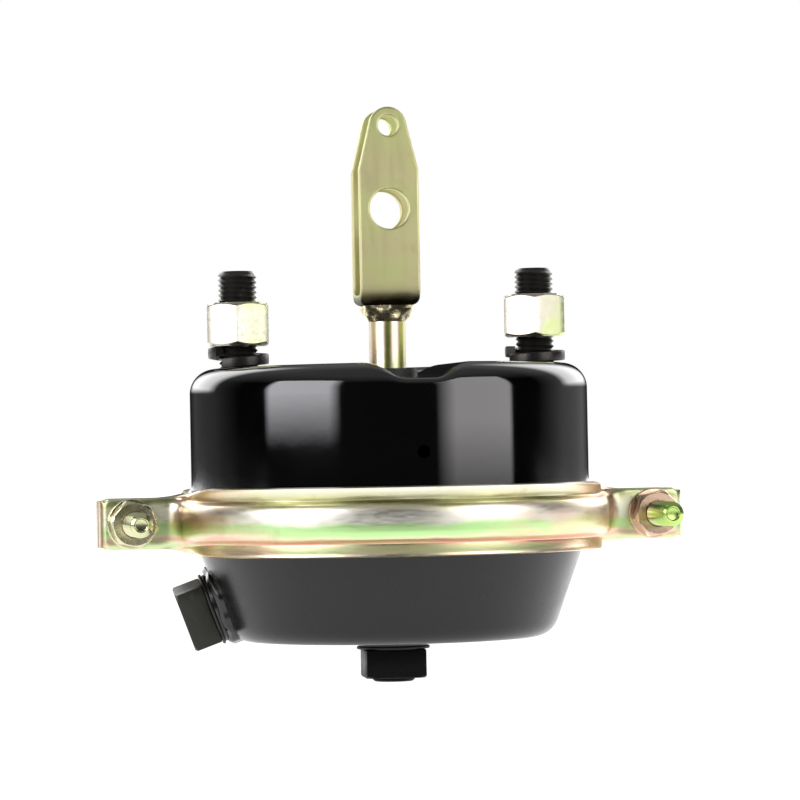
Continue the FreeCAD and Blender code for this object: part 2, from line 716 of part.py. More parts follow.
def build():
    """Writes every node."""
    save("non_pressure_housing", non_pressure_housing())
    save("pressure_housing", pressure_housing())
    save("diaphragm", diaphragm())
    save("push_plate", push_plate())
    save("pushrod", pushrod())
    save("yoke", yoke())
    save("yoke_weld", yoke_weld())
    save("return_spring", return_spring())
    save("stud_pads", *[stud_pad(side) for side in (-1, 1)])
    save("rod_guide", rod_guide())

    nut_levels = ((-1, NUT_LEFT_Z), (1, NUT_RIGHT_Z))
    studs = [stud(z + NUT_H) for side, z in nut_levels]
    save("mounting_studs", *[placed(s, V(side * STUD_X, 0, 0)) for s, (side, z) in zip(studs, nut_levels)])
    made = nut(NUT_AF, NUT_H, STUD_CORE_R + THREAD_GAP, NUT_TURN)
    save("mounting_nuts", *[placed(made, V(side * STUD_X, 0, z)) for side, z in nut_levels])
    save("spring_washers", placed(spring_washer(WASHER_RISE_LEFT, 230), V(-STUD_X, 0, 0)),
         placed(spring_washer(WASHER_RISE_RIGHT, 200), V(STUD_X, 0, 0)))

    front = clamp_half()
    save("clamp_front", front)
    save("clamp_rear", mirrored_front(front))
    save("clamp_bolts", *[clamp_bolt(side) for side in (-1, 1)])
    save("clamp_nuts", *[clamp_nut(side) for side in (-1, 1)])
    save("clamp_washers", *[clamp_washer(side) for side in (-1, 1)])

    for name, axis, turn, nub in (("side", side_port_axis(), -12, False),
                                  ("bottom", bottom_port_axis(), 3.4, True)):
        save(name + "_port_boss", port_boss(axis))
        save(name + "_port_weld", port_weld(axis))
        save(name + "_plug_seal", plug_seal(axis))
        save(name + "_port_plug", port_plug(axis, turn, nub))


build()
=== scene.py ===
"""Looks of a diaphragm air brake chamber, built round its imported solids.

Lengths in the code are in millimetres and become metres when a mesh is made. +Z runs along the pushrod, the
origin is the centre of the mounting face and -Y is the front.
"""

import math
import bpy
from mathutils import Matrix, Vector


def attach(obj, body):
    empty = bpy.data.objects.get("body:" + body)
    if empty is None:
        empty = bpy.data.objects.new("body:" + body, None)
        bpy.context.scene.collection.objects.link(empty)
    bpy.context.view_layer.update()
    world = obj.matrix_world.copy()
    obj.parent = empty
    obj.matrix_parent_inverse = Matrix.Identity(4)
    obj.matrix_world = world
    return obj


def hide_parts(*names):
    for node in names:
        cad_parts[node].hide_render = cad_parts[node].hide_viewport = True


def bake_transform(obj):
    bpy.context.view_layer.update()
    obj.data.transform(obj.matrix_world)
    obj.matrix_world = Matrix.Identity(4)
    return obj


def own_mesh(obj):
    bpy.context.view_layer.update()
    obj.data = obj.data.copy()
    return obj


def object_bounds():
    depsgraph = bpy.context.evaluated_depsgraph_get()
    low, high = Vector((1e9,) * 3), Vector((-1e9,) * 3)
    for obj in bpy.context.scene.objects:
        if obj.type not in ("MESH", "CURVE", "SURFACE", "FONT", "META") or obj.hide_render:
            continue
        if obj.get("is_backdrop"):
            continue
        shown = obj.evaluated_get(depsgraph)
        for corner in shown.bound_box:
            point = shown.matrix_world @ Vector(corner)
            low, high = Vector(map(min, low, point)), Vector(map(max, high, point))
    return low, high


bl_info = {
    "name": "Air Brake Chamber",
    "version": (1, 0, 0),
    "blender": (4, 5, 0),
    "location": "View3D > Sidebar > Chamber",
    "description": "Builds the visible pieces, finishes and stage of an air brake chamber",
    "category": "Add Mesh",
}

import bmesh
import bpy
from mathutils import Matrix, Quaternion, Vector

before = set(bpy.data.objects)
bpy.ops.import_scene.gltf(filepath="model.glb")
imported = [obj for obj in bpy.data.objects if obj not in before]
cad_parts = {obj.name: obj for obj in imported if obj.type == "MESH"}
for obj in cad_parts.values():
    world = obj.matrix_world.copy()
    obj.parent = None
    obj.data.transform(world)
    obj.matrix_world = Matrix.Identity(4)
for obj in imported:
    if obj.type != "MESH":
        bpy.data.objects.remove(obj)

MM = 0.001
FULL_TURN = 2 * math.pi

# Can and dish

MID_Z = -61.0
FLOOR_Z = MID_Z - 48.0
CAN_R = 79.7
CAN_ROUND = 10.0
CAN_WALL = 3.0
ROD_HOLE_R = 12.0
SHOULDER_Z = -16.0
FLANGE_R = 84.4
RECESS_R = 19.0
RECESS_DEPTH = 3.0
CHANNEL_HALF = 8.4
CHANNEL_FALL = 3.4
DRAIN_R = 2.5
DRAIN_Z = -34.6
DISH_TAPER = math.radians(20.0)

# Air ports

PORT_R = 11.05
BOSS_R = 14.0
BOSS_H = 3.0
HEAD_Z = 4.2
HEAD_H = 11.4
SIDE_TURN = math.radians(174.5)

# Clamp

CROWN_R = 87.6
BAND_THICKNESS = 2.2
CLAMP_BOLT_X = 105.2
EAR_FACE_Y = 10.8
EAR_TIP_X = 117.6
EAR_FILLET = 6.0
EAR_ROUND = 2.7
WASHER_H = 2.0
CLAMP_NUT_H = 8.4
BOLT_FREE_END = 25.0
BOLT_THREAD_LENGTH = 34.0
BAND_LINE = [(0.0, 0.0), (-0.05, 2.3), (-0.35, 4.6), (-1.5, 6.6), (-3.6, 7.7), (-4.3, 8.5), (-3.4, 10.4),
             (-2.4, 12.1), (-2.15, 13.0)]
EAR_LINE = [(0.0, 0.0), (0.0, 3.0), (0.0, 6.0), (0.0, 8.2), (-0.25, 9.4), (-0.8, 9.95), (-2.0, 10.15),
            (-4.6, 10.15), (-7.6, 10.15)]
TIP_LINE = [(0.0, 0.0), (0.0, 2.0), (0.0, 3.9), (0.0, 5.6), (0.0, 6.9), (0.0, 7.9), (0.0, 8.5), (0.0, 8.9),
            (0.0, 9.2)]

# Mounting studs

STUD_X = 60.35
STUD_TOP = 38.8
STUD_CORE_R = 6.75
NUT_H = 17.2
NUT_LEVELS = ((-1, 9.0), (1, 11.0))
WASHER_R = 10.15

# Pushrod and yoke

ROD_R = 7.3
WELD_H = 6.5
YOKE_BASE_Z = 24.3
YOKE_HALF = 12.0
YOKE_FOOT_HALF = 9.4
YOKE_FOOT_ROUND = 2.6
STRAP_HALF = 2.2
BEND_START = 4.1
BEND_R = 5.3
BEND_LENGTH = BEND_R * math.pi / 2
TAPER_Z = 78.4
PIN_Z = 62.7
PIN_R = 8.0
TIP_Z = 96.0
TIP_R = 7.5
TIP_HOLE_R = 4.1

# Inside

SPRING_LENGTH = 79.5
SPRING_LOW_R = 25.0
SPRING_HIGH_R = 38.0


def dish_r(z):
    """The dish's outer radius on its tapered wall."""
    return 76.2 + math.tan(DISH_TAPER) * (z - MID_Z + 14.0)


# Shader building


class Socket:
    """An output socket of a node tree, with Python's operators as Math nodes."""

    def __init__(self, nodes, socket):
        self.nodes = nodes
        self.socket = socket

    def maths(self, operation, *others):
        return self.nodes.node("ShaderNodeMath", {"operation": operation}, dict(enumerate((self,) + others)))

    def __add__(self, other):
        return self.maths("ADD", other)

    __radd__ = __add__

    def __mul__(self, other):
        return self.maths("MULTIPLY", other)

    __rmul__ = __mul__

    def __sub__(self, other):
        return self.maths("SUBTRACT", other)

    def __rsub__(self, other):
        return self * -1.0 + other

    def __truediv__(self, other):
        return self.maths("DIVIDE", other)

    def __rtruediv__(self, other):
        return self.maths("POWER", -1.0) * other

    def __abs__(self):
        return self.maths("ABSOLUTE")

    def at_least(self, other):
        return self.maths("MAXIMUM", other)

    def at_most(self, other):
        return self.maths("MINIMUM", other)

    def sine(self):
        return self.maths("SINE")

    def cosine(self):
        return self.maths("COSINE")

    def sign(self):
        return self.maths("SIGN")


class Nodes:
    """A node tree under construction."""

    def __init__(self, tree):
        self.tree = tree

    def node(self, kind, settings=None, inputs=None, out=0):
        """Makes a node: its settings first, then its sockets' values or links. An end node has no out."""
        made = self.tree.nodes.new(kind)
        for key, value in (settings or {}).items():
            if key == "stops":
                self.stops(made.color_ramp, value)
            else:
                setattr(made, key, value)
        for key, value in (inputs or {}).items():
            self.feed(made.inputs[key], value)
        return None if out is None else Socket(self, made.outputs[out])

    def stops(self, ramp, stops):
        """Sets a colour ramp's positions and colours."""
        while len(ramp.elements) < len(stops):
            ramp.elements.new(0.5)
        for element, (position, color) in zip(ramp.elements, stops):
            element.position = position
            element.color = tuple(color) + (1.0,)

    def feed(self, target, value):
        """Links a socket to an input, or sets the input's own value."""
        if isinstance(value, Socket):
            self.tree.links.new(value.socket, target)
        else:
            target.default_value = value

    def outputs(self, kind, names, inputs=None):
        """Makes a node and gives several of its outputs."""
        made = self.node(kind, inputs=inputs).socket.node
        return [Socket(self, made.outputs[name]) for name in names]

    def fit(self, value, low, high, to_low=0.0, to_high=1.0):
        """Maps low to high onto another range and stays inside it."""
        return self.node("ShaderNodeMapRange", {"clamp": True},
                         {"Value": value, "From Min": low, "From Max": high, "To Min": to_low,
                          "To Max": to_high})


class Finish(Nodes):
    """A material under construction, with its surface shader and the pattern coordinates."""

    def __init__(self, name, **surface):
        self.material = bpy.data.materials.new(name)
        self.material.use_nodes = True
        super().__init__(self.material.node_tree)
        self.shader = self.tree.nodes["Principled BSDF"]
        for socket, value in surface.items():
            self.shader.inputs[socket.replace("_", " ")].default_value = value
        self.place = self.node("ShaderNodeTexCoord", out="Object")

    def set(self, name, value):
        """Feeds an input of the surface shader."""
        self.feed(self.shader.inputs[name], value)

    def axes(self):
        """The object coordinates' X, Y and Z in metres."""
        return self.outputs("ShaderNodeSeparateXYZ", "XYZ", {0: self.place})

    def noise(self, scale, detail=2.0, rough=0.5, stretch=(1.0, 1.0, 1.0), shift=(0.0, 0.0, 0.0)):
        """Cloudy values from 0 to 1 over the object coordinates."""
        spot = self.node("ShaderNodeMapping",
                         inputs={"Vector": self.place, "Scale": stretch, "Location": shift})
        return self.node("ShaderNodeTexNoise", {"noise_dimensions": "3D"},
                         {"Vector": spot, "Scale": scale, "Detail": detail, "Roughness": rough}, "Fac")

    def mix(self, factor, first, second):
        """Blends two colours by a factor kept between 0 and 1."""
        colors = [value if isinstance(value, Socket) else (*value, 1.0) for value in (first, second)]
        return self.node("ShaderNodeMix", {"data_type": "RGBA", "clamp_factor": True},
                         {0: factor, 6: colors[0], 7: colors[1]}, 2)

    def bump(self, height, distance):
        """A normal that a height in metres tilts."""
        return self.node("ShaderNodeBump", inputs={"Height": height, "Distance": distance, "Strength": 1.0},
                         out="Normal")


def enamel(name, color, rough, peel, dust, specular):
    """Black enamel with a faint orange peel, a little dust and thin marks."""
    made = Finish(name, Roughness=rough, IOR=1.5, Specular_IOR_Level=specular)
    specks = made.fit(made.noise(900.0, 1.0), 0.71, 0.76)
    cloud = made.fit(made.noise(28.0, 4.0, 0.6), 0.35, 0.75)
    mask = (specks * dust + cloud * dust * 0.25).at_most(1.0)
    made.set("Base Color", made.mix(mask, color, (0.16, 0.155, 0.15)))
    made.set("Roughness", mask * 0.25 + made.fit(made.noise(60.0, 3.0), 0.3, 0.7, rough * 0.85, rough * 1.2))
    ripple = made.noise(170.0, 2.0, 0.45) + made.noise(900.0, 2.0) * 0.12
    made.set("Normal", made.bump(ripple, peel))
    return made.material


def zinc(name, tones, rough, grain=(1.0, 1.0, 1.0), grain_scale=500.0, depth=0.00002, lean=None, mark=None):
    """Yellow zinc plate: cream metal whose film is green or pink in places, and where lean falls or rises.

    mark gives how strongly another tone covers the film, and that tone: on the rod it paints reflections, on
    the yoke a heat mark and painted shade.
    """
    made = Finish(name, Metallic=1.0, Roughness=rough)
    cream, green, pink, olive = tones
    drift = made.noise(24.0, 3.0, 0.5, (1.0, 1.0, 1.5)) * 1.7
    wave = (drift * FULL_TURN).sine()
    side = lean(made, made.axes()[0]) if lean else 0.0
    base = made.mix(made.fit(wave - side, 0.1, 0.9), cream, green)
    base = made.mix(made.fit(side - wave, 0.3, 1.0), base, pink)
    stain = made.fit(made.noise(70.0, 4.0, 0.6), 0.58, 0.8)
    base = made.mix(stain * 0.4, base, olive)
    if mark:
        amount, tone = mark(made)
        base = made.mix(amount, base, tone)
    made.set("Base Color", base)
    streak = made.noise(grain_scale, 3.0, 0.6, grain)
    made.set("Roughness", made.fit(streak, 0.3, 0.7, rough * 0.85, rough * 1.2) + stain * 0.1)
    made.set("Normal", made.bump(streak + made.noise(45.0, 2.0) * 1.5, depth))
    return made.material


def pink_right(made, x):
    """Leans the film from green at the left to pink at the right."""
    return made.fit(x, -0.06, 0.06, -0.7, 0.7)


def green_right(made, x):
    """Leans the film from pink at the left to green at the right."""
    return made.fit(x, -0.06, 0.06, 0.6, -0.9)


def green_nut_sides(made, x):
    """Leans the film to green on the right of each mounting nut."""
    across = x - x.sign() * (STUD_X * MM)
    return made.fit(across, -0.003, 0.003, 1.0, -1.2)


def strap_heat_and_shade(made):
    """The dark brown at the yoke's foot round the weld, uneven at its edge: partly a burnt heat mark, partly
    painted shade under the bend and a painted dark reflection of the can's top.
    """
    height = made.axes()[2] * 1000.0 - YOKE_BASE_Z
    ragged = made.fit(made.noise(75.0, 3.0, 0.5), 0.3, 0.7, -1.3, 1.3)
    amount = made.fit(height + ragged, 4.9, 1.6) * 0.82 + made.fit(height + ragged, 9.0, 3.0) * 0.22
    return amount, (0.035, 0.024, 0.014)


def rod_painted_reflections(made):
    """Painted reflections: three olive and brown stripes that run along the rod, laid out across the camera's
    view.
    """
    x, y, z = made.axes()
    across = (x * 0.986 - y * 0.165) * 1000.0 / ROD_R
    across = across + made.fit(made.noise(60.0, 2.0), 0.3, 0.7, -0.06, 0.06)
    amount = made.fit((across * (FULL_TURN / 0.77)).cosine(), 0.0, 0.95) * 0.9
    left = made.fit(across, -0.3, -0.5)
    right = made.fit(across, 0.3, 0.5)
    tone = made.mix(left, (0.52, 0.60, 0.12), (0.90, 0.72, 0.48))
    return amount, made.mix(right, tone, (0.72, 0.78, 0.20))


def zinc_band(name, tones, rough):
    """The band's zinc plate: its film follows the pressed section and wanders along it, with painted
    highlights and painted shade.
    """
    made = Finish(name, Metallic=1.0, Roughness=rough)
    green, pink, olive = tones[1:]
    white = (0.95, 0.93, 0.80)
    x, y, z = made.axes()
    height = z * 1000.0 - MID_Z
    wander = made.noise(13.0, 3.0, 0.55, (1.0, 1.0, 2.2))
    ripple = made.noise(60.0, 2.0, 0.5, (1.0, 1.0, 3.0))
    level = height + made.fit(wander, 0.25, 0.75, -2.6, 2.6) + made.fit(ripple, 0.3, 0.7, -0.5, 0.5)
    spread = made.fit(level, -14.0, 14.0)
    # The ramp paints highlights white on the crown and the top lip, and painted shade olive in the upper
    # groove; the green, pink and cream stops are the film's tints.
    stops = [(0.0, (0.90, 0.74, 0.50)), (0.06, (0.88, 0.78, 0.55)), (0.11, (0.66, 0.80, 0.44)),
             (0.17, (0.70, 0.76, 0.46)), (0.195, pink), (0.235, pink), (0.27, (0.84, 0.80, 0.55)),
             (0.33, green), (0.44, green), (0.52, white), (0.66, white), (0.73, (0.84, 0.80, 0.55)),
             (0.78, olive), (0.82, olive), (0.86, (0.84, 0.82, 0.56)), (1.0, white)]
    ramp = made.node("ShaderNodeValToRGB", {"stops": stops}, {0: spread})
    ends = made.fit(abs(x), 0.048, 0.076, 0.0, 0.2) - made.fit(abs(x), 0.086, 0.094, 0.0, 0.4)
    ends = ends + made.fit(x, 0.0, 0.05, 0.0, 0.07)
    blush = made.fit(made.noise(17.0, 3.0, 0.6, (1.0, 1.0, 2.6), (0.31, 0.12, 0.05)) + ends, 0.56, 0.72)
    cool = made.fit(made.noise(15.0, 3.0, 0.6, (1.0, 1.0, 2.6), (0.77, 0.4, 0.2)), 0.55, 0.75)
    base = made.mix(blush * 0.6, ramp, (0.88, 0.58, 0.46))
    ear = made.fit(abs(x), 0.088, 0.096)
    base = made.mix((cool * 0.5 + ear * 0.4).at_most(0.7), base, (0.62, 0.74, 0.38))
    # Painted shade in brown: in the corner where the left crown meets its ear, and on the left ear's end.
    painted_shade_patch = made.fit(abs(x + 0.083), 0.002, 0.012, 1.0, 0.0) * made.fit(abs(height), 1.5, 6.5, 1.0, 0.0)
    painted_shade_patch = painted_shade_patch.at_least(made.fit(x, -0.1168, -0.1160, 1.0, 0.0))
    base = made.mix(painted_shade_patch * 0.75, base, (0.42, 0.25, 0.14))
    stain = made.fit(made.noise(70.0, 5.0, 0.65), 0.6, 0.8)
    base = made.mix(stain * 0.35, base, olive)
    made.set("Base Color", base)
    streak = made.noise(220.0, 3.0, 0.6, (1.0, 1.0, 5.0))
    made.set("Roughness", made.fit(streak, 0.3, 0.7, rough * 0.85, rough * 1.2) + stain * 0.1)
    made.set("Normal", made.bump(streak * 0.5 + made.noise(40.0, 2.0) * 2.0, 0.00003))
    return made.material


def dark_metal(name, color, rough, metallic, relief, scale, worn=(0.25, 0.24, 0.22), shine=0.5):
    """Blackened or cast metal with a fine tooth and rubbed places."""
    made = Finish(name, Metallic=metallic, Roughness=rough, Specular_IOR_Level=shine)
    tooth = made.noise(scale, 4.0, 0.6)
    rub = made.fit(made.noise(120.0, 4.0, 0.7), 0.6, 0.8)
    made.set("Base Color", made.mix(rub * 0.35, color, worn))
    made.set("Roughness", made.fit(tooth, 0.3, 0.7, rough * 0.8, rough * 1.25))
    made.set("Normal", made.bump(tooth, relief))
    return made.material


def soft_black(name, color, rough, scale, relief):
    """Rubber or moulded plastic with a fine matt grain."""
    made = Finish(name, Roughness=rough)
    grain = made.noise(scale, 3.0, 0.6)
    made.set("Base Color", made.mix(made.fit(grain, 0.35, 0.7), color, tuple(c * 1.8 + 0.004 for c in color)))
    made.set("Roughness", made.fit(grain, 0.3, 0.7, rough * 0.9, min(1.0, rough * 1.15)))
    made.set("Normal", made.bump(grain, relief))
    return made.material


class ChamberColors(bpy.types.PropertyGroup):
    """Colours of the finishes."""

    gloss: bpy.props.FloatVectorProperty(name="Can", description="Enamel on the can", subtype="COLOR",
                                         default=(0.0007, 0.0007, 0.0009), min=0.0, max=1.0)
    satin: bpy.props.FloatVectorProperty(name="Dish", description="Enamel on the dish", subtype="COLOR",
                                         default=(0.006, 0.006, 0.0063), min=0.0, max=1.0)
    cream: bpy.props.FloatVectorProperty(name="Zinc", description="Main colour of the zinc plate",
                                         subtype="COLOR", default=(0.82, 0.77, 0.53), min=0.0, max=1.0)
    green: bpy.props.FloatVectorProperty(name="Zinc green", description="Green tint of the zinc plate",
                                         subtype="COLOR", default=(0.54, 0.84, 0.36), min=0.0, max=1.0)
    pink: bpy.props.FloatVectorProperty(name="Zinc pink", description="Pink tint of the zinc plate",
                                        subtype="COLOR", default=(0.80, 0.48, 0.38), min=0.0, max=1.0)
    # The olive tone also paints shade into the band's upper groove.
    olive: bpy.props.FloatVectorProperty(name="Zinc olive", description="Dark stain of the zinc plate",
                                         subtype="COLOR", default=(0.36, 0.36, 0.18), min=0.0, max=1.0)


class ChamberSizes(bpy.types.PropertyGroup):
    """Sizes of the details that the solids don't set."""

    pitch: bpy.props.FloatProperty(name="Stud thread pitch", description="Rise per turn of the studs' thread",
                                   default=2.0 * MM, unit="LENGTH", min=0.5 * MM, max=3.0 * MM)
    bolt_pitch: bpy.props.FloatProperty(name="Bolt thread pitch", default=1.5 * MM, unit="LENGTH",
                                        description="Rise per turn of the clamp bolts' thread",
                                        min=0.5 * MM, max=3.0 * MM)
    yoke_edge: bpy.props.FloatProperty(name="Yoke edge", description="Rounding of the yoke's punched edges",
                                       default=0.8 * MM, unit="LENGTH", min=0.1 * MM, max=1.5 * MM)
    spring_wire: bpy.props.FloatProperty(name="Spring wire", description="Radius of the return spring's wire",
                                         default=2.5 * MM, unit="LENGTH", min=1.0 * MM, max=3.0 * MM)
    spring_turns: bpy.props.IntProperty(name="Spring turns", description="Turns of the return spring",
                                        default=6, min=3, max=9)
    segments: bpy.props.IntProperty(name="Segments", description="Steps round the turned pieces", default=224,
                                    min=24, max=720)


def sizes():
    """The scene's set sizes."""
    return bpy.context.scene.chamber_sizes


def colors():
    """The scene's set colours."""
    return bpy.context.scene.chamber_colors


def finish(name):
    """The named finish, made when it is first asked for."""
    found = bpy.data.materials.get(name)
    if found:
        return found
    tone = colors()
    film = [tuple(tone.cream), tuple(tone.green), tuple(tone.pink), tuple(tone.olive)]
    pale = [(0.58, 0.57, 0.45), (0.56, 0.62, 0.32), (0.60, 0.57, 0.49), (0.44, 0.42, 0.28)]
    khaki = [(0.61, 0.62, 0.30), (0.56, 0.63, 0.28), (0.62, 0.58, 0.32), (0.38, 0.35, 0.17)]
    small = [(0.74, 0.70, 0.46), (0.62, 0.74, 0.38), (0.72, 0.52, 0.38), (0.34, 0.30, 0.15)]
    lime = [(0.70, 0.72, 0.42), (0.50, 0.70, 0.20), (0.74, 0.70, 0.48), (0.30, 0.32, 0.10)]
    rod = [(0.80, 0.78, 0.55), (0.72, 0.80, 0.44), (0.82, 0.68, 0.50), (0.42, 0.40, 0.2)]
    plate = [(0.55, 0.53, 0.38), (0.5, 0.55, 0.33), (0.55, 0.47, 0.35), (0.3, 0.28, 0.18)]
    makers = {
        "enamel_gloss": lambda n: enamel(n, tuple(tone.gloss), 0.06, 0.000008, 0.01, 1.0),
        "enamel_satin": lambda n: enamel(n, tuple(tone.satin), 0.25, 0.00001, 0.015, 0.42),
        "enamel_boss": lambda n: enamel(n, (0.003, 0.003, 0.003), 0.22, 0.00002, 0.01, 0.7),
        "zinc_band": lambda n: zinc_band(n, film, 0.34),
        "zinc_small": lambda n: zinc(n, small, 0.24, lean=pink_right),
        "zinc_bolt": lambda n: zinc(n, lime, 0.22, lean=green_right),
        "zinc_nut": lambda n: zinc(n, pale, 0.34, lean=green_nut_sides),
        # The yoke's mark is part heat tint, part painted shade and painted reflection at the bend.
        "zinc_strap": lambda n: zinc(n, khaki, 0.5, (1.0, 1.0, 0.2), 260.0, mark=strap_heat_and_shade),
        # The rod's finish carries painted reflections: stripes along the rod.
        "drawn_zinc": lambda n: zinc(n, rod, 0.32, (1.0, 1.0, 8.0), 300.0, mark=rod_painted_reflections),
        "zinc_plate": lambda n: zinc(n, plate, 0.36),
        "weld_bead": lambda n: dark_metal(n, (0.72, 0.64, 0.40), 0.28, 1.0, 0.0007, 240.0,
                                          (0.42, 0.26, 0.15)),
        "blackened": lambda n: dark_metal(n, (0.034, 0.031, 0.028), 0.32, 0.7, 0.00004, 900.0),
        "plug_iron": lambda n: dark_metal(n, (0.022, 0.022, 0.017), 0.38, 0.5, 0.00005, 520.0,
                                          (0.08, 0.078, 0.065)),
        "plug_black": lambda n: dark_metal(n, (0.004, 0.004, 0.004), 0.4, 0.0, 0.00005, 520.0,
                                           (0.03, 0.03, 0.03), 0.12),
        "spring_wire": lambda n: dark_metal(n, (0.05, 0.05, 0.052), 0.4, 0.8, 0.00004, 700.0),
        "cup_rubber": lambda n: soft_black(n, (0.012, 0.012, 0.012), 0.75, 1400.0, 0.00005),
        "seal": lambda n: soft_black(n, (0.008, 0.008, 0.009), 0.5, 1600.0, 0.00003),
        "moulding": lambda n: soft_black(n, (0.02, 0.02, 0.021), 0.5, 1100.0, 0.00004),
    }
    return makers[name](name)


# Mesh building


def rounded(corners, steps=6, closed=True):
    """Points along corners (u, v[, radius]), with an arc of steps at each corner that has a radius."""
    points = []
    count = len(corners)
    for i, corner in enumerate(corners):
        end = not closed and i in (0, count - 1)
        if len(corner) < 3 or corner[2] <= 0 or end:
            points.append((corner[0], corner[1]))
            continue
        b = Vector(corner[:2])
        back = (Vector(corners[i - 1][:2]) - b).normalized()
        ahead = (Vector(corners[(i + 1) % count][:2]) - b).normalized()
        half = back.angle(ahead) / 2
        reach = corner[2] / math.tan(half)
        centre = b + (back + ahead).normalized() * (corner[2] / math.sin(half))
        first = b + back * reach - centre
        last = b + ahead * reach - centre
        sweep = first.angle_signed(last)
        for k in range(steps + 1):
            turn = -sweep * k / steps
            c, s = math.cos(turn), math.sin(turn)
            points.append((centre.x + first.x * c - first.y * s, centre.y + first.x * s + first.y * c))
    return points


def piece(name, mesh, finish_name, body, node=None, sharp=32.0):
    """Adds a mesh as a piece of the object, with its finish, its body and the node that it stands for."""
    thing = bpy.data.objects.new(name, mesh)
    bpy.context.scene.collection.objects.link(thing)
    mesh.materials.clear()
    mesh.materials.append(finish(finish_name))
    mesh.shade_smooth()
    mesh.set_sharp_from_angle(angle=math.radians(sharp))
    if node:
        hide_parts(node)
    if body:
        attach(thing, body)
    return thing


def mesh_from(bm, name, flip=True):
    """Closes a bmesh off as a mesh with its doubles merged and its faces outward."""
    bmesh.ops.remove_doubles(bm, verts=bm.verts, dist=1e-7)
    if flip:
        bmesh.ops.recalc_face_normals(bm, faces=bm.faces)
    mesh = bpy.data.meshes.new(name)
    bm.to_mesh(mesh)
    bm.free()
    return mesh


def lathe(bm, points, start=0.0, end=360.0, closed=True, matrix=None, bend=None):
    """Turns points (radius, height) about Z, in millimetres, and caps both ends of an open turn."""
    whole = abs(end - start - 360.0) < 1e-6
    count = max(8, round(sizes().segments * (end - start) / 360.0))
    rings = []
    for i in range(count if whole else count + 1):
        turn = math.radians(start + (end - start) * i / count)
        ring = []
        for r, z in points:
            spot = Vector((r * math.cos(turn), r * math.sin(turn), z))
            if bend:
                spot = bend(spot)
            spot *= MM
            ring.append(bm.verts.new(matrix @ spot if matrix else spot))
        rings.append(ring)
    pairs = len(points) if closed else len(points) - 1
    for i in range(count):
        here, there = rings[i], rings[(i + 1) % len(rings)]
        for k in range(pairs):
            n = (k + 1) % len(points)
            face = [here[k], there[k], there[n], here[n]]
            if points[k][0] < 1e-9:
                face.remove(there[k])
            if points[n][0] < 1e-9:
                face.remove(there[n])
            if len(face) > 2:
                bm.faces.new(face)
    if not whole and closed:
        bm.faces.new(rings[0])
        bm.faces.new(list(reversed(rings[-1])))


def turned(name, points, finish_name, body, node=None, matrix=None, bend=None, sharp=32.0):
    """A lathe-turned piece."""
    bm = bmesh.new()
    lathe(bm, points, matrix=matrix, bend=bend)
    return piece(name, mesh_from(bm, name), finish_name, body, node, sharp)


def facets(sides, apothem, corner, turn):
    """The radius of a nut's or plug's outline at each of its angles, with corners cut to a largest radius."""
    steps = 12
    for i in range(sides * steps):
        angle = FULL_TURN * i / (sides * steps)
        inside = (angle % (FULL_TURN / sides)) - math.pi / sides
        yield angle + math.radians(turn), min(apothem / math.cos(inside), corner)


def faceted(bm, outline, low, high, flat, slope, matrix, bore=0.0, edge=0.35, both=True):
    """A nut, bolt head or plug head between two heights, its ends chamfered outside the radius flat."""
    rings = []
    outline = list(outline)
    for angle, r in outline:
        fall = max(0.0, r - flat) * slope
        foot = low + (fall if both else 0.0)
        top = high - fall
        inner = min(flat, r - 1.2 * edge)
        line = [(bore, low + edge), (bore + edge, low), (inner, low)] if bore else [(0.0, low), (inner, low)]
        line += [(r - edge, foot + 0.1 * edge), (r - 0.3 * edge, foot + 0.4 * edge), (r, foot + edge)]
        line += [(r, top - edge), (r - 0.3 * edge, top - 0.4 * edge), (r - edge, top - 0.1 * edge)]
        line.append((inner, high))
        line += [(bore + edge, high), (bore, high - edge)] if bore else [(0.0, high)]
        rings.append([bm.verts.new(matrix @ (Vector((q * math.cos(angle), q * math.sin(angle), z)) * MM))
                      for q, z in line])
    count = len(rings[0])
    for i, here in enumerate(rings):
        there = rings[(i + 1) % len(rings)]
        for k in range(count if bore else count - 1):
            n = (k + 1) % count
            bm.faces.new([here[k], there[k], there[n], here[n]])


def swept(bm, rings):
    """Joins rings of points, in millimetres, into a tube with capped ends."""
    made = [[bm.verts.new(point * MM) for point in ring] for ring in rings]
    count = len(made[0])
    for here, there in zip(made, made[1:]):
        for k in range(count):
            n = (k + 1) % count
            bm.faces.new([here[k], there[k], there[n], here[n]])
    bm.faces.new(made[0])
    bm.faces.new(list(reversed(made[-1])))


def spline(points, steps):
    """A smooth line through points, with steps parts between each two."""
    ends = [points[0] * 2 - points[1]] + points + [points[-1] * 2 - points[-2]]
    line = []
    for i in range(len(points) - 1):
        a, b, c, d = ends[i:i + 4]
        for k in range(steps):
            t = k / steps
            line.append((b * 2 + (c - a) * t + (a * 2 - b * 5 + c * 4 - d) * t * t
                         + (b * 3 - a - c * 3 + d) * t ** 3) / 2)
    return line + [points[-1]]


def evaluated(thing, name):
    """The mesh of an object with its modifiers applied."""
    graph = bpy.context.evaluated_depsgraph_get()
    mesh = bpy.data.meshes.new_from_object(thing.evaluated_get(graph), depsgraph=graph)
    mesh.name = name
    return mesh


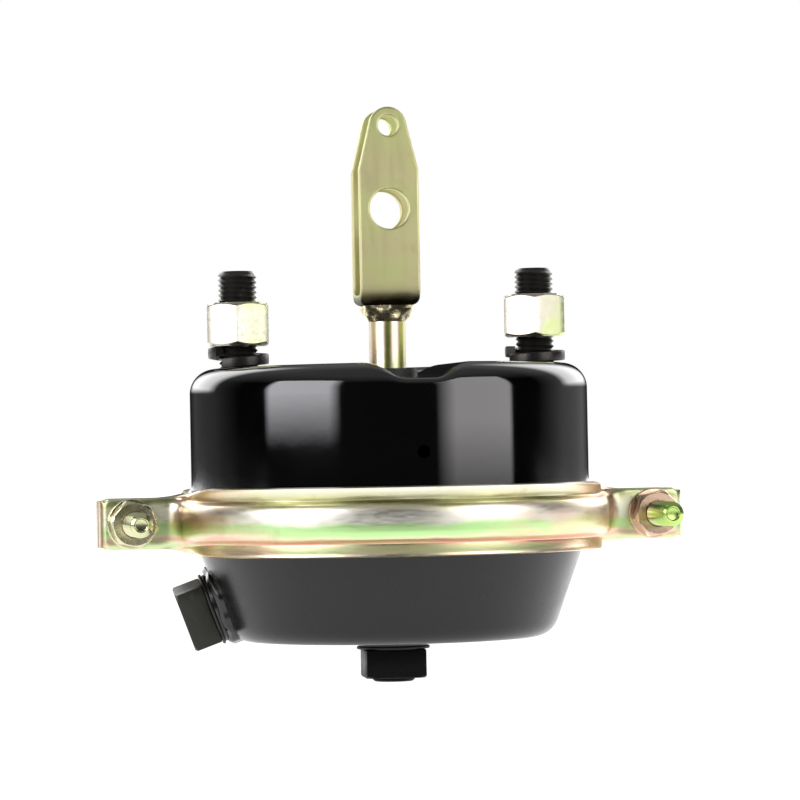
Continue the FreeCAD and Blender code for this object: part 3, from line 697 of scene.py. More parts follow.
def plate(outlines, half, edge):
    """A sheet of thickness 2 half with rounded rims, from an outline and its holes' clockwise outlines."""
    steps = [(edge * (1 - math.sin(math.radians(30 * i))), edge * (1 - math.cos(math.radians(30 * i))))
             for i in range(4)]
    profile = [(inset, -half + t) for inset, t in steps]
    # The rows across the rim lie closer together towards the outer face, where the yoke's foot is rounded.
    profile += [(0.0, (half - edge) * share) for share in (-2 / 7, 1 / 7, 4 / 7, 13 / 14)]
    profile += [(inset, half - t) for inset, t in reversed(steps)]
    bm = bmesh.new()
    rims = [], []
    for outline in outlines:
        rings = []
        corners = [Vector(corner) for corner in outline]
        for i, here in enumerate(corners):
            before = (here - corners[i - 1]).normalized()
            after = (corners[(i + 1) % len(corners)] - here).normalized()
            out = Vector((before.y + after.y, -before.x - after.x)) / (1 + before.dot(after))
            rings.append([bm.verts.new((*(here - out * inset), t)) for inset, t in profile])
        for i, here in enumerate(rings):
            there = rings[(i + 1) % len(rings)]
            for k in range(len(profile) - 1):
                face = bm.faces.new([here[k], there[k], there[k + 1], here[k + 1]])
                if k == 0:
                    rims[0].append(face.edges[0])
                if k == len(profile) - 2:
                    rims[1].append(face.edges[2])
    for rim in rims:
        bmesh.ops.triangle_fill(bm, use_beauty=True, edges=rim)
    return bm


def drilled(name, bm, tool):
    """A mesh with a hole cut by a second bmesh."""
    made = []
    for label, shape in ((name + "_blank", bm), (name + "_tool", tool)):
        thing = bpy.data.objects.new(label, mesh_from(shape, label))
        bpy.context.scene.collection.objects.link(thing)
        made.append(thing)
    cut = made[0].modifiers.new("Cut", "BOOLEAN")
    cut.operation = "DIFFERENCE"
    cut.solver = "EXACT"
    cut.object = made[1]
    mesh = evaluated(made[0], name)
    for thing in made:
        bpy.data.objects.remove(thing)
    return mesh


def pillar(outline, place, depth):
    """A plain prism as a new bmesh: an outline (u, v) in millimetres pushed along depth."""
    bm = bmesh.new()
    near = [bm.verts.new(place(u, v) * MM) for u, v in outline]
    face = bm.faces.new(near)
    far = bmesh.ops.extrude_face_region(bm, geom=[face])["geom"]
    verts = [g for g in far if isinstance(g, bmesh.types.BMVert)]
    bmesh.ops.translate(bm, verts=verts, vec=depth * MM)
    return bm


def disc(r, count=48):
    """The corners of a round outline."""
    turns = [FULL_TURN * i / count for i in range(count)]
    return [(r * math.cos(turn), r * math.sin(turn)) for turn in turns]


def dressed(node, finish_name):
    """Gives a node that keeps its own mesh its finish."""
    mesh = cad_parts[node].data
    mesh.materials.clear()
    mesh.materials.append(finish(finish_name))


# Geometry node trees


class Shape(Nodes):
    """A geometry node tree under construction, with named inputs."""

    def __init__(self, name, inputs):
        super().__init__(bpy.data.node_groups.new(name, "GeometryNodeTree"))
        face = self.tree.interface
        face.new_socket("Geometry", in_out="OUTPUT", socket_type="NodeSocketGeometry")
        self.keys = {}
        for label, kind, value in inputs:
            made = face.new_socket(label, in_out="INPUT", socket_type=kind)
            made.default_value = value
            self.keys[label] = made.identifier
        self.given = dict(zip(self.keys, self.outputs("NodeGroupInput", self.keys)))

    def close(self, geometry, material):
        """Ends the tree: real geometry that wears a material."""
        whole = self.node("GeometryNodeRealizeInstances", inputs={"Geometry": geometry})
        worn = self.node("GeometryNodeSetMaterial", inputs={"Geometry": whole, "Material": material})
        self.node("NodeGroupOutput", inputs={0: worn}, out=None)

    def mesh(self, name, values):
        """The tree's result with these input values, as a plain mesh."""
        holder = bpy.data.objects.new(name, bpy.data.meshes.new(name))
        bpy.context.scene.collection.objects.link(holder)
        modifier = holder.modifiers.new("Shape", "NODES")
        modifier.node_group = self.tree
        for label, value in values.items():
            modifier[self.keys[label]] = value
        made = evaluated(holder, name)
        bpy.data.objects.remove(holder)
        return made


def coil_shape():
    """A coil of round or sharp wire: a helix between two radii, swept with a round profile."""
    shape = Shape("coil", [
        ("Low radius", "NodeSocketFloat", 0.025), ("High radius", "NodeSocketFloat", 0.038),
        ("Height", "NodeSocketFloat", 0.08), ("Pitch", "NodeSocketFloat", 0.014),
        ("Wire radius", "NodeSocketFloat", 0.0025), ("Sides", "NodeSocketInt", 12),
        ("Steps", "NodeSocketInt", 48),
    ])
    given = shape.given
    path = shape.node("GeometryNodeCurveSpiral", inputs={
        "Resolution": given["Steps"], "Rotations": given["Height"] / given["Pitch"],
        "Start Radius": given["Low radius"], "End Radius": given["High radius"], "Height": given["Height"]})
    upright = shape.node("GeometryNodeSetCurveNormal", {"mode": "Z_UP"}, {"Curve": path})
    ring = shape.node("GeometryNodeCurvePrimitiveCircle", {"mode": "RADIUS"},
                      {"Resolution": given["Sides"], "Radius": given["Wire radius"]})
    wire = shape.node("GeometryNodeCurveToMesh",
                      inputs={"Curve": upright, "Profile Curve": ring, "Fill Caps": True})
    return shape, wire


def coil(name, finish_name, **values):
    """A coil as a plain mesh standing on z = 0, sizes in metres."""
    shape, wire = coil_shape()
    shape.close(wire, finish(finish_name))
    return shape.mesh(name, {key.replace("_", " ").capitalize(): value for key, value in values.items()})


# Pieces


def smooth_least(a, b, k):
    """The lesser of two heights, blended over k."""
    h = max(k - abs(a - b), 0.0) / k
    return min(a, b) - h * h * k * 0.25


def relief(spot):
    """Lowers a point of the can's end to the recess round the rod and the channel that drains it."""
    x, y, z = spot
    if z < SHOULDER_Z:
        return spot
    ahead = max(0.0, -y)
    recess = -RECESS_DEPTH + max(0.0, math.hypot(x, y) - RECESS_R)
    slope = -smooth_least(0.0, -(abs(x) - CHANNEL_HALF) / 1.28, 2.2)
    channel = -RECESS_DEPTH - CHANNEL_FALL * ahead / CAN_R + slope + max(0.0, y) * 1.2
    pressed = smooth_least(recess, channel, 2.0)
    spot.z = min(z, smooth_least(z, pressed, 4.0))
    return spot


class CHAMBER_OT_can(bpy.types.Operator):
    """Adds the glossy can with its drain recess, drain channel and drain hole."""

    bl_idname = "chamber.can"
    bl_label = "Can"

    def execute(self, context):
        points = [(ROD_HOLE_R, 0.0)] + [(ROD_HOLE_R + 0.6 + 1.4 * i, 0.0) for i in range(41)]
        for i in range(19):
            turn = math.radians(90.0 - 5.0 * i)
            points.append((CAN_R + CAN_ROUND * (math.cos(turn) - 1), CAN_ROUND * (math.sin(turn) - 1)))
        points += [(CAN_R, -12.0 - 3.0 * i) for i in range(13)]
        points += rounded([(CAN_R, -49.0), (CAN_R, -51.5, 3.0), (CAN_R + 1.2, -54.2, 3.0),
                           (FLANGE_R, -58.4, 1.0), (FLANGE_R, -59.5)], 4, False)[1:]
        bm = bmesh.new()
        lathe(bm, points, closed=False, bend=relief)
        shell = bpy.data.objects.new("can_blank", mesh_from(bm, "can_blank"))
        context.scene.collection.objects.link(shell)
        wall = shell.modifiers.new("Wall", "SOLIDIFY")
        wall.thickness = CAN_WALL * MM
        wall.offset = -1.0
        wall.use_even_offset = True
        thick = bmesh.new()
        thick.from_mesh(evaluated(shell, "can_wall"))
        bpy.data.objects.remove(shell)
        drill = pillar(disc(DRAIN_R), lambda u, v: Vector((u, -90.0, DRAIN_Z + v)), Vector((0.0, 20.0, 0.0)))
        piece("can", drilled("can", thick, drill), "enamel_gloss", "housing", "non_pressure_housing",
              40.0)
        return {"FINISHED"}


class CHAMBER_OT_dish(bpy.types.Operator):
    """Adds the satin dish."""

    bl_idname = "chamber.dish"
    bl_label = "Dish"

    def execute(self, context):
        top = MID_Z - 10.0
        drop = (top - FLOOR_Z - 12.0) / 9
        wall = [(dish_r(top - 1.5 - drop * i), top - 1.5 - drop * i) for i in range(10)]
        flange = [(FLANGE_R, MID_Z - 1.5), (FLANGE_R, MID_Z - 2.6, 0.8), (80.9, MID_Z - 6.8, 2.0),
                  (dish_r(top), top, 2.0)]
        bottom = [(dish_r(FLOOR_Z), FLOOR_Z, 10.0), (PORT_R + 0.25, FLOOR_Z)]
        outer = rounded(flange + wall + bottom, 8, False)
        inner = rounded([(PORT_R + 0.25, FLOOR_Z + 3.0), (dish_r(FLOOR_Z) - 2.1, FLOOR_Z + 3.0, 7.0),
                         (dish_r(top) - 3.2, top), (81.8, MID_Z - 1.5)], 8, False)
        turned("dish", outer + inner, "enamel_satin", "housing", "pressure_housing")
        return {"FINISHED"}


def ports():
    """The two ports: name, the plug's turn and finish, and the matrix that stands on each."""
    z = MID_Z - 33.6
    side = Vector((dish_r(z) * math.cos(SIDE_TURN), dish_r(z) * math.sin(SIDE_TURN), z))
    out = Vector((math.cos(DISH_TAPER) * math.cos(SIDE_TURN), math.cos(DISH_TAPER) * math.sin(SIDE_TURN),
                  -math.sin(DISH_TAPER)))
    for name, turn, coat, at, along in (("side", 33.0, "plug_iron", side, out),
                                        ("bottom", 48.4, "plug_black", Vector((0.0, 0.0, FLOOR_Z)),
                                         Vector((0.0, 0.0, -1.0)))):
        stand = Vector((0.0, 0.0, 1.0)).rotation_difference(along)
        yield name, turn, coat, Matrix.Translation(at * MM) @ stand.to_matrix().to_4x4()


def bead_lumps(spot):
    """Swells a weld bead's outside unevenly round its turn."""
    turn = math.atan2(spot.y, spot.x)
    reach = math.hypot(spot.x, spot.y)
    if reach > 14.2:
        swell = 0.5 * math.sin(5 * turn + 0.6) + 0.3 * math.sin(9 * turn + 2.1)
        spot.x *= 1 + swell / reach
        spot.y *= 1 + swell / reach
        spot.z += 0.35 * math.sin(6 * turn + 1.0)
    return spot


class CHAMBER_OT_ports(bpy.types.Operator):
    """Adds the bosses, weld beads, sealing rings and plugs of both air ports."""

    bl_idname = "chamber.ports"
    bl_label = "Air ports"

    def execute(self, context):
        for name, turn, coat, stand in ports():
            boss = rounded([(PORT_R, -4.0), (BOSS_R, -4.0), (BOSS_R, BOSS_H, 0.4), (PORT_R, BOSS_H)])
            turned(name + "_boss", boss, "enamel_boss", "housing", name + "_port_boss", stand)
            seal = rounded([(PORT_R, BOSS_H), (14.7, BOSS_H, 0.5), (14.7, HEAD_Z, 0.5), (PORT_R, HEAD_Z)])
            turned(name + "_seal", seal, "seal", "housing", name + "_plug_seal", stand)
            bead = rounded([(13.8, -4.0), (16.3, -4.0), (16.3, 0.2, 1.2), (15.0, 1.6, 0.8), (13.8, 1.8)])
            turned(name + "_weld", bead, "enamel_boss", "housing", name + "_port_weld", stand,
                   bead_lumps, 60.0)
            bm = bmesh.new()
            top = HEAD_Z + HEAD_H
            faceted(bm, facets(4, 12.3, 16.8, turn), HEAD_Z, top, 14.8, 0.33, stand, edge=0.6, both=False)
            lathe(bm, [(0.0, -2.7), (10.9, -2.7), (10.9, HEAD_Z + 0.2), (0.0, HEAD_Z + 0.2)], closed=False,
                  matrix=stand)
            if name == "bottom":
                nub = rounded([(0.0, top - 0.4), (8.5, top - 0.4), (8.5, top + 0.8, 0.5),
                               (7.6, top + 1.6, 0.8), (0.0, top + 1.6)], 4, False)
                lathe(bm, nub, closed=False, matrix=stand)
            piece(name + "_plug", mesh_from(bm, name + "_plug"), coat, "housing", name + "_port_plug",
                  30.0)
        return {"FINISHED"}


def clamp_section(ear, tip):
    """The band's closed section, as offsets out from the crown and heights."""
    line = []
    for a, b, c in zip(BAND_LINE, EAR_LINE, TIP_LINE):
        line.append(Vector(a).lerp(Vector(b), ear).lerp(Vector(c), tip))
    half = spline(line, 5)
    outer = [Vector((p.x, -p.y)) for p in reversed(half[1:])] + half
    inner = []
    for i, point in enumerate(outer):
        along = outer[min(i + 1, len(outer) - 1)] - outer[max(i - 1, 0)]
        inner.append(point + Vector((-along.y, along.x)).normalized() * BAND_THICKNESS)
    return outer + list(reversed(inner))


def ease(value, low, high):
    """Rises smoothly from 0 to 1 between low and high."""
    part = min(1.0, max(0.0, (value - low) / (high - low)))
    return part * part * (3 - 2 * part)


def clamp_stations():
    """From the band's middle to an ear's tip: points in plan, outward directions, ear and tip shares."""
    centre_x = math.sqrt((CROWN_R + EAR_FILLET) ** 2 - (EAR_FACE_Y + EAR_FILLET) ** 2)
    centre = Vector((centre_x, -EAR_FACE_Y - EAR_FILLET))
    stop = math.degrees(math.atan2(EAR_FACE_Y + EAR_FILLET, centre_x))
    turn = 90.0
    while turn > stop + 0.2:
        a = math.radians(turn)
        spoke = Vector((math.cos(a), -math.sin(a)))
        yield spoke * CROWN_R, spoke, turn
        turn -= 1.5 if turn > 22.0 else 0.6
    first, last = math.radians(180.0 - stop), math.radians(90.0)
    for i in range(13):
        a = first + (last - first) * i / 12
        spoke = Vector((math.cos(a), math.sin(a)))
        yield centre + spoke * EAR_FILLET, -spoke, 0.0
    x = centre_x + 1.5
    while x < EAR_TIP_X - 3.0:
        yield Vector((x, -EAR_FACE_Y)), Vector((0.0, -1.0)), 0.0
        x += 1.2
    for i in range(10):
        a = math.radians(-90.0 + 10.0 * i)
        spoke = Vector((math.cos(a), math.sin(a)))
        yield Vector((EAR_TIP_X - EAR_ROUND, EAR_ROUND - EAR_FACE_Y)) + spoke * EAR_ROUND, spoke, 0.0
    for y in (-6.0, -3.5, -1.1):
        yield Vector((EAR_TIP_X, y)), Vector((1.0, 0.0)), 0.0


class CHAMBER_OT_clamp(bpy.types.Operator):
    """Adds both halves of the clamp band with their ears."""

    bl_idname = "chamber.clamp"
    bl_label = "Clamp band"

    def execute(self, context):
        right = []
        for spot, out, turn in clamp_stations():
            ear = ease(spot.x, 80.0, 94.5) if turn < 30.0 else 0.0
            tip = ease(spot.x, EAR_TIP_X - 4.0, EAR_TIP_X - 0.3)
            ring = []
            for offset, height in clamp_section(ear, tip):
                flat = spot + out * offset
                ring.append(Vector((flat.x, flat.y, height + MID_Z)))
            right.append(ring)
        left = [[Vector((-p.x, p.y, p.z)) for p in ring] for ring in reversed(right[1:])]
        front = left + right
        for name, rings in (("clamp_front", front),
                            ("clamp_rear", [[Vector((p.x, -p.y, p.z)) for p in ring] for ring in front])):
            bm = bmesh.new()
            swept(bm, rings)
            piece("band_" + name[6:], mesh_from(bm, name), "zinc_band", "housing", name, 50.0)
        return {"FINISHED"}


class CHAMBER_OT_fasteners(bpy.types.Operator):
    """Adds the clamp's bolts with their threads, washers and nuts."""

    bl_idname = "chamber.fasteners"
    bl_label = "Clamp bolts"

    def execute(self, context):
        pitch = sizes().bolt_pitch
        bolts, nuts, washers = bmesh.new(), bmesh.new(), bmesh.new()
        for side in (-1, 1):
            stand = Matrix.Rotation(math.pi / 2, 4, "X")
            bolt = Matrix.Translation(Vector((side * CLAMP_BOLT_X, EAR_FACE_Y, MID_Z)) * MM) @ stand
            tip = EAR_FACE_Y * 2 + WASHER_H + CLAMP_NUT_H + BOLT_FREE_END
            shank = rounded([(0.0, -0.5), (4.25, -0.5), (4.25, tip - 1.3), (3.1, tip - 0.2), (2.8, tip, 0.2),
                             (2.3, tip - 0.7, 0.3), (0.0, tip - 1.0)], 3, False)
            lathe(bolts, shank, closed=False, matrix=bolt)
            faceted(bolts, facets(6, 8.5, 9.6, 0.0), -6.4, 0.0, 8.2, 0.8, bolt, both=False)
            ridge = coil("bolt_thread", "zinc_bolt", low_radius=4.2 * MM, high_radius=4.2 * MM,
                         height=BOLT_THREAD_LENGTH * MM, pitch=pitch, wire_radius=0.72 * MM, sides=4,
                         steps=26)
            ridge.transform(bolt @ Matrix.Translation((0.0, 0.0, (tip - BOLT_THREAD_LENGTH - 1.5) * MM)))
            bolts.from_mesh(ridge)
            bpy.data.meshes.remove(ridge)
            face = Matrix.Translation(Vector((side * CLAMP_BOLT_X, -EAR_FACE_Y, MID_Z)) * MM) @ stand
            faceted(nuts, facets(6, 8.5, 9.65, 12.0 * side), WASHER_H, WASHER_H + CLAMP_NUT_H, 8.25, 0.577,
                    face, bore=5.05)
            ring = rounded([(5.05, 0.0, 0.2), (10.0, 0.0, 0.5), (10.0, WASHER_H, 0.5), (5.05, WASHER_H, 0.2)])
            lathe(washers, ring, matrix=face)
        piece("clamp_bolt_pair", mesh_from(bolts, "bolts"), "zinc_bolt", "housing", "clamp_bolts",
              30.0)
        piece("clamp_nut_pair", mesh_from(nuts, "nuts"), "zinc_small", "housing", "clamp_nuts",
              26.0)
        piece("clamp_washer_pair", mesh_from(washers, "washers"), "zinc_small", "housing", "clamp_washers")
        return {"FINISHED"}


def spring_washer(bm, rise, turn, at):
    """A split washer: square wire wound nearly once, that climbs by rise."""
    section = rounded([(-1.95, 0.0, 0.4), (1.95, 0.0, 0.4), (1.95, 4.0, 0.4), (-1.95, 4.0, 0.4)], 3)
    rings = []
    for i in range(97):
        a = math.radians(turn + 345.0 * i / 96)
        rings.append([Vector((at + (WASHER_R + u) * math.cos(a), (WASHER_R + u) * math.sin(a),
                              v + rise * i / 96)) for u, v in section])
    swept(bm, rings)


class CHAMBER_OT_studs(bpy.types.Operator):
    """Adds the mounting studs with their threads, nuts and spring washers."""

    bl_idname = "chamber.studs"
    bl_label = "Mounting studs"

    def execute(self, context):
        pitch = sizes().pitch
        studs, nuts, washers = bmesh.new(), bmesh.new(), bmesh.new()
        for side, level in NUT_LEVELS:
            spot = Matrix.Translation(Vector((side * STUD_X, 0.0, 0.0)) * MM)
            body = rounded([(0.0, -10.0), (9.0, -10.0, 1.0), (9.0, -6.0), (STUD_CORE_R, -6.0),
                            (STUD_CORE_R, STUD_TOP - 1.2, 0.4), (6.0, STUD_TOP, 0.4), (0.0, STUD_TOP)], 3,
                           False)
            lathe(studs, body, closed=False, matrix=spot)
            for low, high in ((-2.0, level + 0.4), (level + NUT_H - 0.4, STUD_TOP - 0.9)):
                ridge = coil("stud_thread", "blackened", low_radius=6.7 * MM, high_radius=6.7 * MM,
                             height=(high - low) * MM, pitch=pitch, wire_radius=1.08 * MM, sides=4, steps=30)
                turn = Matrix.Rotation(math.pi / 2 - FULL_TURN * (high - low) * MM / pitch, 4, "Z")
                ridge.transform(spot @ Matrix.Translation((0.0, 0.0, low * MM)) @ turn)
                studs.from_mesh(ridge)
                bpy.data.meshes.remove(ridge)
            faceted(nuts, facets(6, 12.0, 13.65, 20.0), level, level + NUT_H, 11.7, 0.577, spot, bore=7.5,
                    edge=0.5)
        spring_washer(washers, 4.8, 230.0, -STUD_X)
        spring_washer(washers, 3.4, 200.0, STUD_X)
        piece("stud_pair", mesh_from(studs, "studs"), "blackened", "housing", "mounting_studs",
              30.0)
        piece("mounting_nut_pair", mesh_from(nuts, "mounting_nuts"), "zinc_nut", "housing", "mounting_nuts",
              26.0)
        piece("spring_washer_pair", mesh_from(washers, "spring_washers"), "blackened", "housing",
              "spring_washers", 40.0)
        return {"FINISHED"}


def rod_lumps(spot):
    """Swells the weld under the yoke unevenly round its turn."""
    turn = math.atan2(spot.y, spot.x)
    reach = math.hypot(spot.x, spot.y)
    if reach > ROD_R + 0.3:
        share = min(1.0, (reach - ROD_R - 0.3) / 2.0)
        swell = 0.8 * math.sin(4 * turn + 0.7 + 0.7 * spot.z) - 0.3
        swell += 0.5 * math.sin(7 * turn + 2.0 - 0.6 * spot.z)
        spot.x *= 1 + swell * share / reach
        spot.y *= 1 + swell * share / reach
    return spot


class CHAMBER_OT_pushrod(bpy.types.Operator):
    """Adds the pushrod, its weld collar and the yoke."""

    bl_idname = "chamber.pushrod"
    bl_label = "Pushrod and yoke"

    def execute(self, context):
        foot = FLOOR_Z + 11.74
        rod = [(0.0, foot - 3.0), (9.0, foot - 3.0), (10.0, foot - 1.5), (10.0, foot), (5.5, foot),
               (5.5, foot + 4.12), (ROD_R, foot + 4.12), (ROD_R, YOKE_BASE_Z), (0.0, YOKE_BASE_Z)]
        bm = bmesh.new()
        lathe(bm, rod, closed=False)
        piece("rod", mesh_from(bm, "rod"), "drawn_zinc", "pushrod", "pushrod")
        low = YOKE_BASE_Z - WELD_H
        line = [(ROD_R - 0.1, low), (7.8, low + 0.5, 0.4), (9.1, low + 2.6, 3.0), (10.9, low + 5.2, 1.0),
                (11.2, low + WELD_H - 0.05), (ROD_R - 0.1, low + WELD_H - 0.05)]
        turned("rod_weld", rounded(line, 4), "weld_bead", "pushrod", "yoke_weld",
               bend=rod_lumps, sharp=60.0)
        self.yoke()
        return {"FINISHED"}

    def yoke(self):
        """The yoke as a flat strap with its four holes, then bent; the taper runs tangent to the tip."""
        rise = BEND_START + BEND_LENGTH - YOKE_BASE_Z - BEND_R - STRAP_HALF
        taper = TIP_Z - TAPER_Z
        first = math.acos(TIP_R / math.hypot(YOKE_HALF, taper)) - math.atan2(taper, YOKE_HALF)
        rows = [BEND_START + BEND_LENGTH * i / 12 for i in range(13)]
        half = [(YOKE_HALF, s) for s in rows] + [(YOKE_HALF, TAPER_Z + rise)]
        for i in range(25):
            turn = first + (math.pi - 2 * first) * i / 24
            half.append((TIP_R * math.cos(turn), TIP_Z + rise + TIP_R * math.sin(turn)))
        half += [(-YOKE_HALF, TAPER_Z + rise)] + [(-YOKE_HALF, s) for s in reversed(rows)]
        outlines = [half + [(-x, -s) for x, s in half]]
        for way in (-1, 1):
            for r, z, count in ((PIN_R, PIN_Z, 60), (TIP_HOLE_R, TIP_Z, 48)):
                outlines.append([(x, way * (z + rise) - y) for x, y in disc(r, count)])
        bm = plate(outlines, STRAP_HALF, sizes().yoke_edge / MM)
        for s in [way * row for row in rows for way in (-1, 1)]:
            bmesh.ops.bisect_plane(bm, geom=bm.verts[:] + bm.edges[:] + bm.faces[:], dist=1e-5,
                                   plane_co=(0.0, s, 0.0), plane_no=(0.0, 1.0, 0.0))
        for vert in bm.verts:
            vert.co = self.bent(*vert.co) * MM
        piece("yoke_strap", mesh_from(bm, "yoke_strap"), "zinc_strap", "pushrod", "yoke", 9.0)

    def bent(self, x, s, t):
        """Bends the flat strap to a U: s runs along its middle surface, t out from it."""
        reach = abs(s)
        turn = min(max(reach - BEND_START, 0.0) / BEND_R, math.pi / 2)
        y = min(reach, BEND_START) + (BEND_R + t) * math.sin(turn)
        z = YOKE_BASE_Z + BEND_R + STRAP_HALF - (BEND_R + t) * math.cos(turn)
        z += max(reach - BEND_START - BEND_LENGTH, 0.0)
        low = YOKE_FOOT_ROUND - (z - YOKE_BASE_Z)
        if low > 0:
            x *= (YOKE_FOOT_HALF + math.sqrt(max(0.0, YOKE_FOOT_ROUND ** 2 - low ** 2))) / YOKE_HALF
        return Vector((x, math.copysign(y, s), z))


class CHAMBER_OT_inside(bpy.types.Operator):
    """Adds what the housings hide: plate, spring, diaphragm, guide and stud pads."""

    bl_idname = "chamber.inside"
    bl_label = "Inside"

    def execute(self, context):
        base = FLOOR_Z + 10.8
        wire = coil("spring", "spring_wire", low_radius=SPRING_LOW_R * MM, high_radius=SPRING_HIGH_R * MM,
                    height=SPRING_LENGTH * MM, pitch=SPRING_LENGTH / sizes().spring_turns * MM,
                    wire_radius=sizes().spring_wire, sides=14, steps=48)
        wire.transform(Matrix.Translation((0.0, 0.0, (base + 2.7) * MM)))
        spring = piece("spring", wire, "spring_wire", "housing", "return_spring", 60.0)
        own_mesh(spring)
        low = FLOOR_Z + 3.3
        cup = rounded([(0.0, low), (61.4, low, 7.0), (73.9, MID_Z - 9.5), (81.6, MID_Z - 1.5),
                       (84.1, MID_Z - 1.5), (84.1, MID_Z + 1.5), (74.6, MID_Z + 1.5, 3.0),
                       (70.6, MID_Z - 9.5), (58.4, low + 3.2, 5.4), (0.0, low + 3.2)], 6, False)
        bm = bmesh.new()
        lathe(bm, cup, closed=False)
        rubber = piece("rubber_cup", mesh_from(bm, "rubber_cup"), "cup_rubber", None, "diaphragm")
        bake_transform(rubber)
        dressed("push_plate", "zinc_plate")
        dressed("rod_guide", "moulding")
        dressed("stud_pads", "blackened")
        return {"FINISHED"}


class CHAMBER_OT_stage(bpy.types.Operator):
    """Adds the floor, the lamps, the surroundings and the camera."""

    bl_idname = "chamber.stage"
    bl_label = "Stage"

    def execute(self, context):
        self.floor(context)
        self.surroundings(context)
        self.lamps(context)
        self.camera(context)
        context.scene.view_settings.view_transform = "Standard"
        return {"FINISHED"}

    def floor(self, context):
        """A white ground, in metres, that ends a little way in front of the chamber and glows for
        reflections, with painted shade dimming the glow towards the front.
        """
        half, front = 6.0, 0.6
        bm = bmesh.new()
        bmesh.ops.create_grid(bm, x_segments=2, y_segments=2, size=half)
        bmesh.ops.translate(bm, verts=bm.verts, vec=(0.0, half - front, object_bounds()[0].z - 0.0002))
        mesh = mesh_from(bm, "floor", False)
        floor = bpy.data.objects.new("floor", mesh)
        context.scene.collection.objects.link(floor)
        paper = Finish("paper", Roughness=0.9, Specular_IOR_Level=0.2)
        paper.set("Base Color", (0.72, 0.72, 0.72, 1.0))
        seen = paper.node("ShaderNodeLightPath", out="Is Camera Ray")
        x, y, z = paper.axes()
        # Painted light and shade: the floor glows, dim in front of the chamber and bright behind it, so that
        # the dish reflects a darker floor in front.
        back = paper.fit(y + x * 0.6, -0.2, 0.6)
        paper.set("Emission Color", paper.mix(back, (0.28, 0.28, 0.28), (1.0, 1.0, 1.0)))
        paper.set("Emission Strength", 1.5)
        glow = paper.node("ShaderNodeEmission", inputs={"Color": (1.0, 1.0, 1.0, 1.0), "Strength": 1.08})
        own = Socket(paper, paper.shader.outputs[0])
        both = paper.node("ShaderNodeMixShader", inputs={0: seen * 0.86, 1: own, 2: glow})
        paper.feed(paper.tree.nodes["Material Output"].inputs["Surface"], both)
        mesh.materials.append(paper.material)
        floor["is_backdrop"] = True

    def surroundings(self, context):
        """A bright studio for plain light, and for reflections a dim wall with two bright openings behind."""
        world = bpy.data.worlds.new("studio")
        context.scene.world = world
        world.use_nodes = True
        sky = Nodes(world.node_tree)
        sky.tree.nodes.clear()
        way = sky.node("ShaderNodeTexCoord", out="Generated")
        toward, right = self.facing()
        side, back, up = [sky.node("ShaderNodeVectorMath", {"operation": "DOT_PRODUCT"},
                                   {0: way, 1: axis}, "Value") for axis in (right, -toward, (0.0, 0.0, 1.0))]
        wall = sky.fit(back, 0.1, 0.5, 0.0, 0.13) * sky.fit(side, -0.3, 0.3, 1.0, 2.2)
        wall = wall * sky.fit(back, 0.86, 0.97, 1.0, 0.08)
        opening = sky.fit(back, 0.48, 0.62) * sky.fit(up, 0.03, 0.14) * sky.fit(abs(side), 0.2, 0.36)
        ahead = sky.fit(back, -0.2, -0.7, 0.0, 0.02) + sky.fit(up, 0.45, 0.85, 0.0, 0.3)
        dim = opening * 3.2 + (wall + ahead)
        glossy, passing, seen = sky.outputs(
            "ShaderNodeLightPath", ("Is Glossy Ray", "Is Transmission Ray", "Is Camera Ray"))
        mirror = glossy.at_least(passing)
        level = mirror * dim + (1.0 - mirror) * seen.at_least(0.8)
        glow = sky.node("ShaderNodeBackground", inputs={"Color": (1.0, 1.0, 1.0, 1.0), "Strength": level})
        sky.node("ShaderNodeOutputWorld", inputs={"Surface": glow}, out=None)

    def facing(self):
        """The level directions from the chamber to the camera and to the camera's right."""
        turn = math.radians(-9.5)
        return Vector((math.sin(turn), -math.cos(turn), 0.0)), Vector((math.cos(turn), math.sin(turn), 0.0))

    def lamp(self, context, name, ends, low, high, radiance, soft, tint):
        """An upright soft box between two ends in plan, in metres, that dims towards its edges.

        The ends are given to the camera's right and away from it; soft is how wide each edge dims.
        """
        toward, right = self.facing()
        a, b = [right * along - toward * behind for along, behind in ends]
        mesh = bpy.data.meshes.new(name)
        corners = [spot + Vector((0.0, 0.0, z)) for spot, z in ((a, low), (b, low), (b, high), (a, high))]
        mesh.from_pydata(corners, [], [(0, 1, 2, 3)])
        cloth = Finish(name + "_cloth", Roughness=1.0, Specular_IOR_Level=0.0)
        cloth.set("Base Color", (0.0, 0.0, 0.0, 1.0))
        x, y, z = cloth.axes()
        way = (b - a).normalized()
        across = x * way.x + y * way.y - a.dot(way)
        glow = cloth.fit(across, 0.0, soft[0]) * cloth.fit((b - a).length - across, 0.0, soft[1])
        glow = glow * cloth.fit(z, low, low + soft[2]) * cloth.fit(high - z, 0.0, soft[3])
        cloth.set("Emission Color", cloth.mix(glow, (0.0, 0.0, 0.0), tint))
        cloth.set("Emission Strength", radiance)
        mesh.materials.append(cloth.material)
        box = bpy.data.objects.new(name, mesh)
        context.scene.collection.objects.link(box)
        box.visible_camera = False
        box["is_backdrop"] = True

    def lamps(self, context):
        """Two soft boxes on the camera's side, one at the left and one at the right."""
        self.lamp(context, "left_box", ((-0.392, -0.150), (-0.180, -0.392)), -0.031, 0.24, 4.8,
                  (0.03, 0.05, 0.026, 0.01), (0.96, 0.95, 1.0))
        self.lamp(context, "right_box", ((0.180, -0.395), (0.392, -0.150)), -0.068, 0.26, 2.8,
                  (0.08, 0.02, 0.048, 0.01), (1.0, 0.97, 0.98))

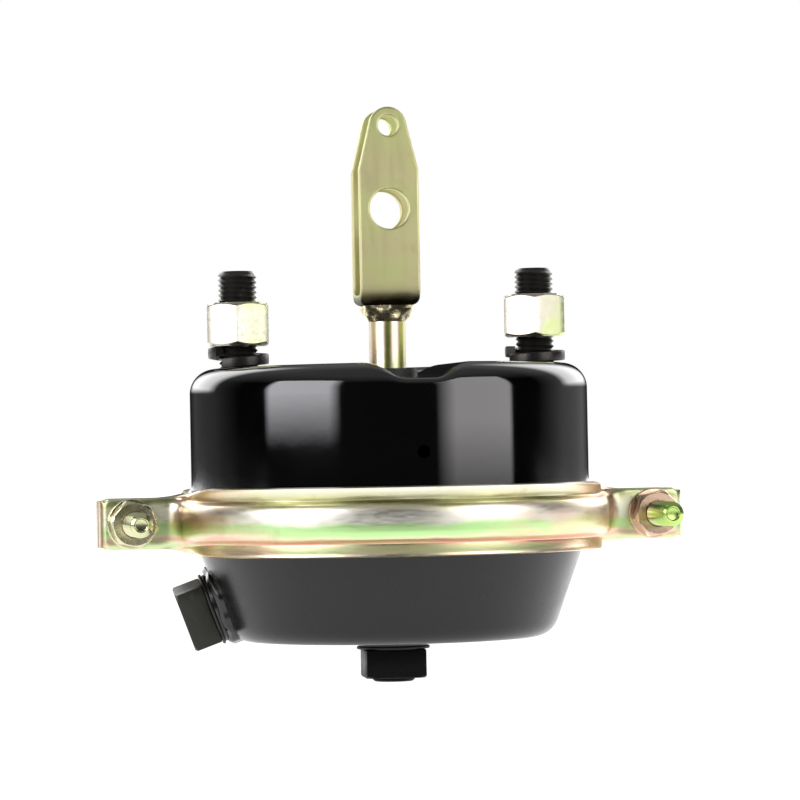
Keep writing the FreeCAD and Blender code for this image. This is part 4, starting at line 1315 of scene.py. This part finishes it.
    def camera(self, context):
        """A long lens level with the chamber, rolled a little as in the picture."""
        distance = 1.55
        pixels_per_mm = 2.49
        picture_width = 800.0
        toward, right = self.facing()
        eye = toward * distance + Vector((0.0, 0.0, -0.0365))
        target = right * 0.0046 + Vector((0.0, 0.0, -0.0136))
        lens = bpy.data.cameras.new("camera")
        lens.sensor_width = 36.0
        lens.lens = pixels_per_mm * distance * 1000.0 * lens.sensor_width / picture_width
        lens.clip_start = 0.1
        lens.clip_end = 50.0
        camera = bpy.data.objects.new("camera", lens)
        context.scene.collection.objects.link(camera)
        camera.rotation_mode = "QUATERNION"
        look = (target - eye).to_track_quat("-Z", "Y")
        camera.location = eye
        camera.rotation_quaternion = look @ Quaternion((0.0, 0.0, 1.0), math.radians(-1.1))
        context.scene.camera = camera


class CHAMBER_PT_panel(bpy.types.Panel):
    """Lists the operators that build the chamber."""

    bl_label = "Air Brake Chamber"
    bl_idname = "CHAMBER_PT_panel"
    bl_space_type = "VIEW_3D"
    bl_region_type = "UI"
    bl_category = "Chamber"

    def draw(self, context):
        column = self.layout.column(align=True)
        for operator in OPERATORS:
            column.operator(operator.bl_idname)
        for group in (context.scene.chamber_sizes, context.scene.chamber_colors):
            for name in group.bl_rna.properties.keys():
                if name not in ("rna_type", "name"):
                    column.prop(group, name)


OPERATORS = (
    CHAMBER_OT_can,
    CHAMBER_OT_dish,
    CHAMBER_OT_ports,
    CHAMBER_OT_clamp,
    CHAMBER_OT_fasteners,
    CHAMBER_OT_studs,
    CHAMBER_OT_pushrod,
    CHAMBER_OT_inside,
    CHAMBER_OT_stage,
)
CLASSES = (ChamberColors, ChamberSizes) + OPERATORS + (CHAMBER_PT_panel,)


def register():
    for cls in CLASSES:
        bpy.utils.register_class(cls)
    bpy.types.Scene.chamber_colors = bpy.props.PointerProperty(type=ChamberColors)
    bpy.types.Scene.chamber_sizes = bpy.props.PointerProperty(type=ChamberSizes)


def unregister():
    del bpy.types.Scene.chamber_sizes
    del bpy.types.Scene.chamber_colors
    for cls in reversed(CLASSES):
        bpy.utils.unregister_class(cls)


def main():
    register()
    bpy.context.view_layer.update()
    bpy.ops.chamber.can()
    bpy.ops.chamber.dish()
    bpy.ops.chamber.ports()
    bpy.ops.chamber.clamp()
    bpy.ops.chamber.fasteners()
    bpy.ops.chamber.studs()
    bpy.ops.chamber.pushrod()
    bpy.ops.chamber.inside()
    bpy.ops.chamber.stage()


if __name__ == "__main__":
    main()
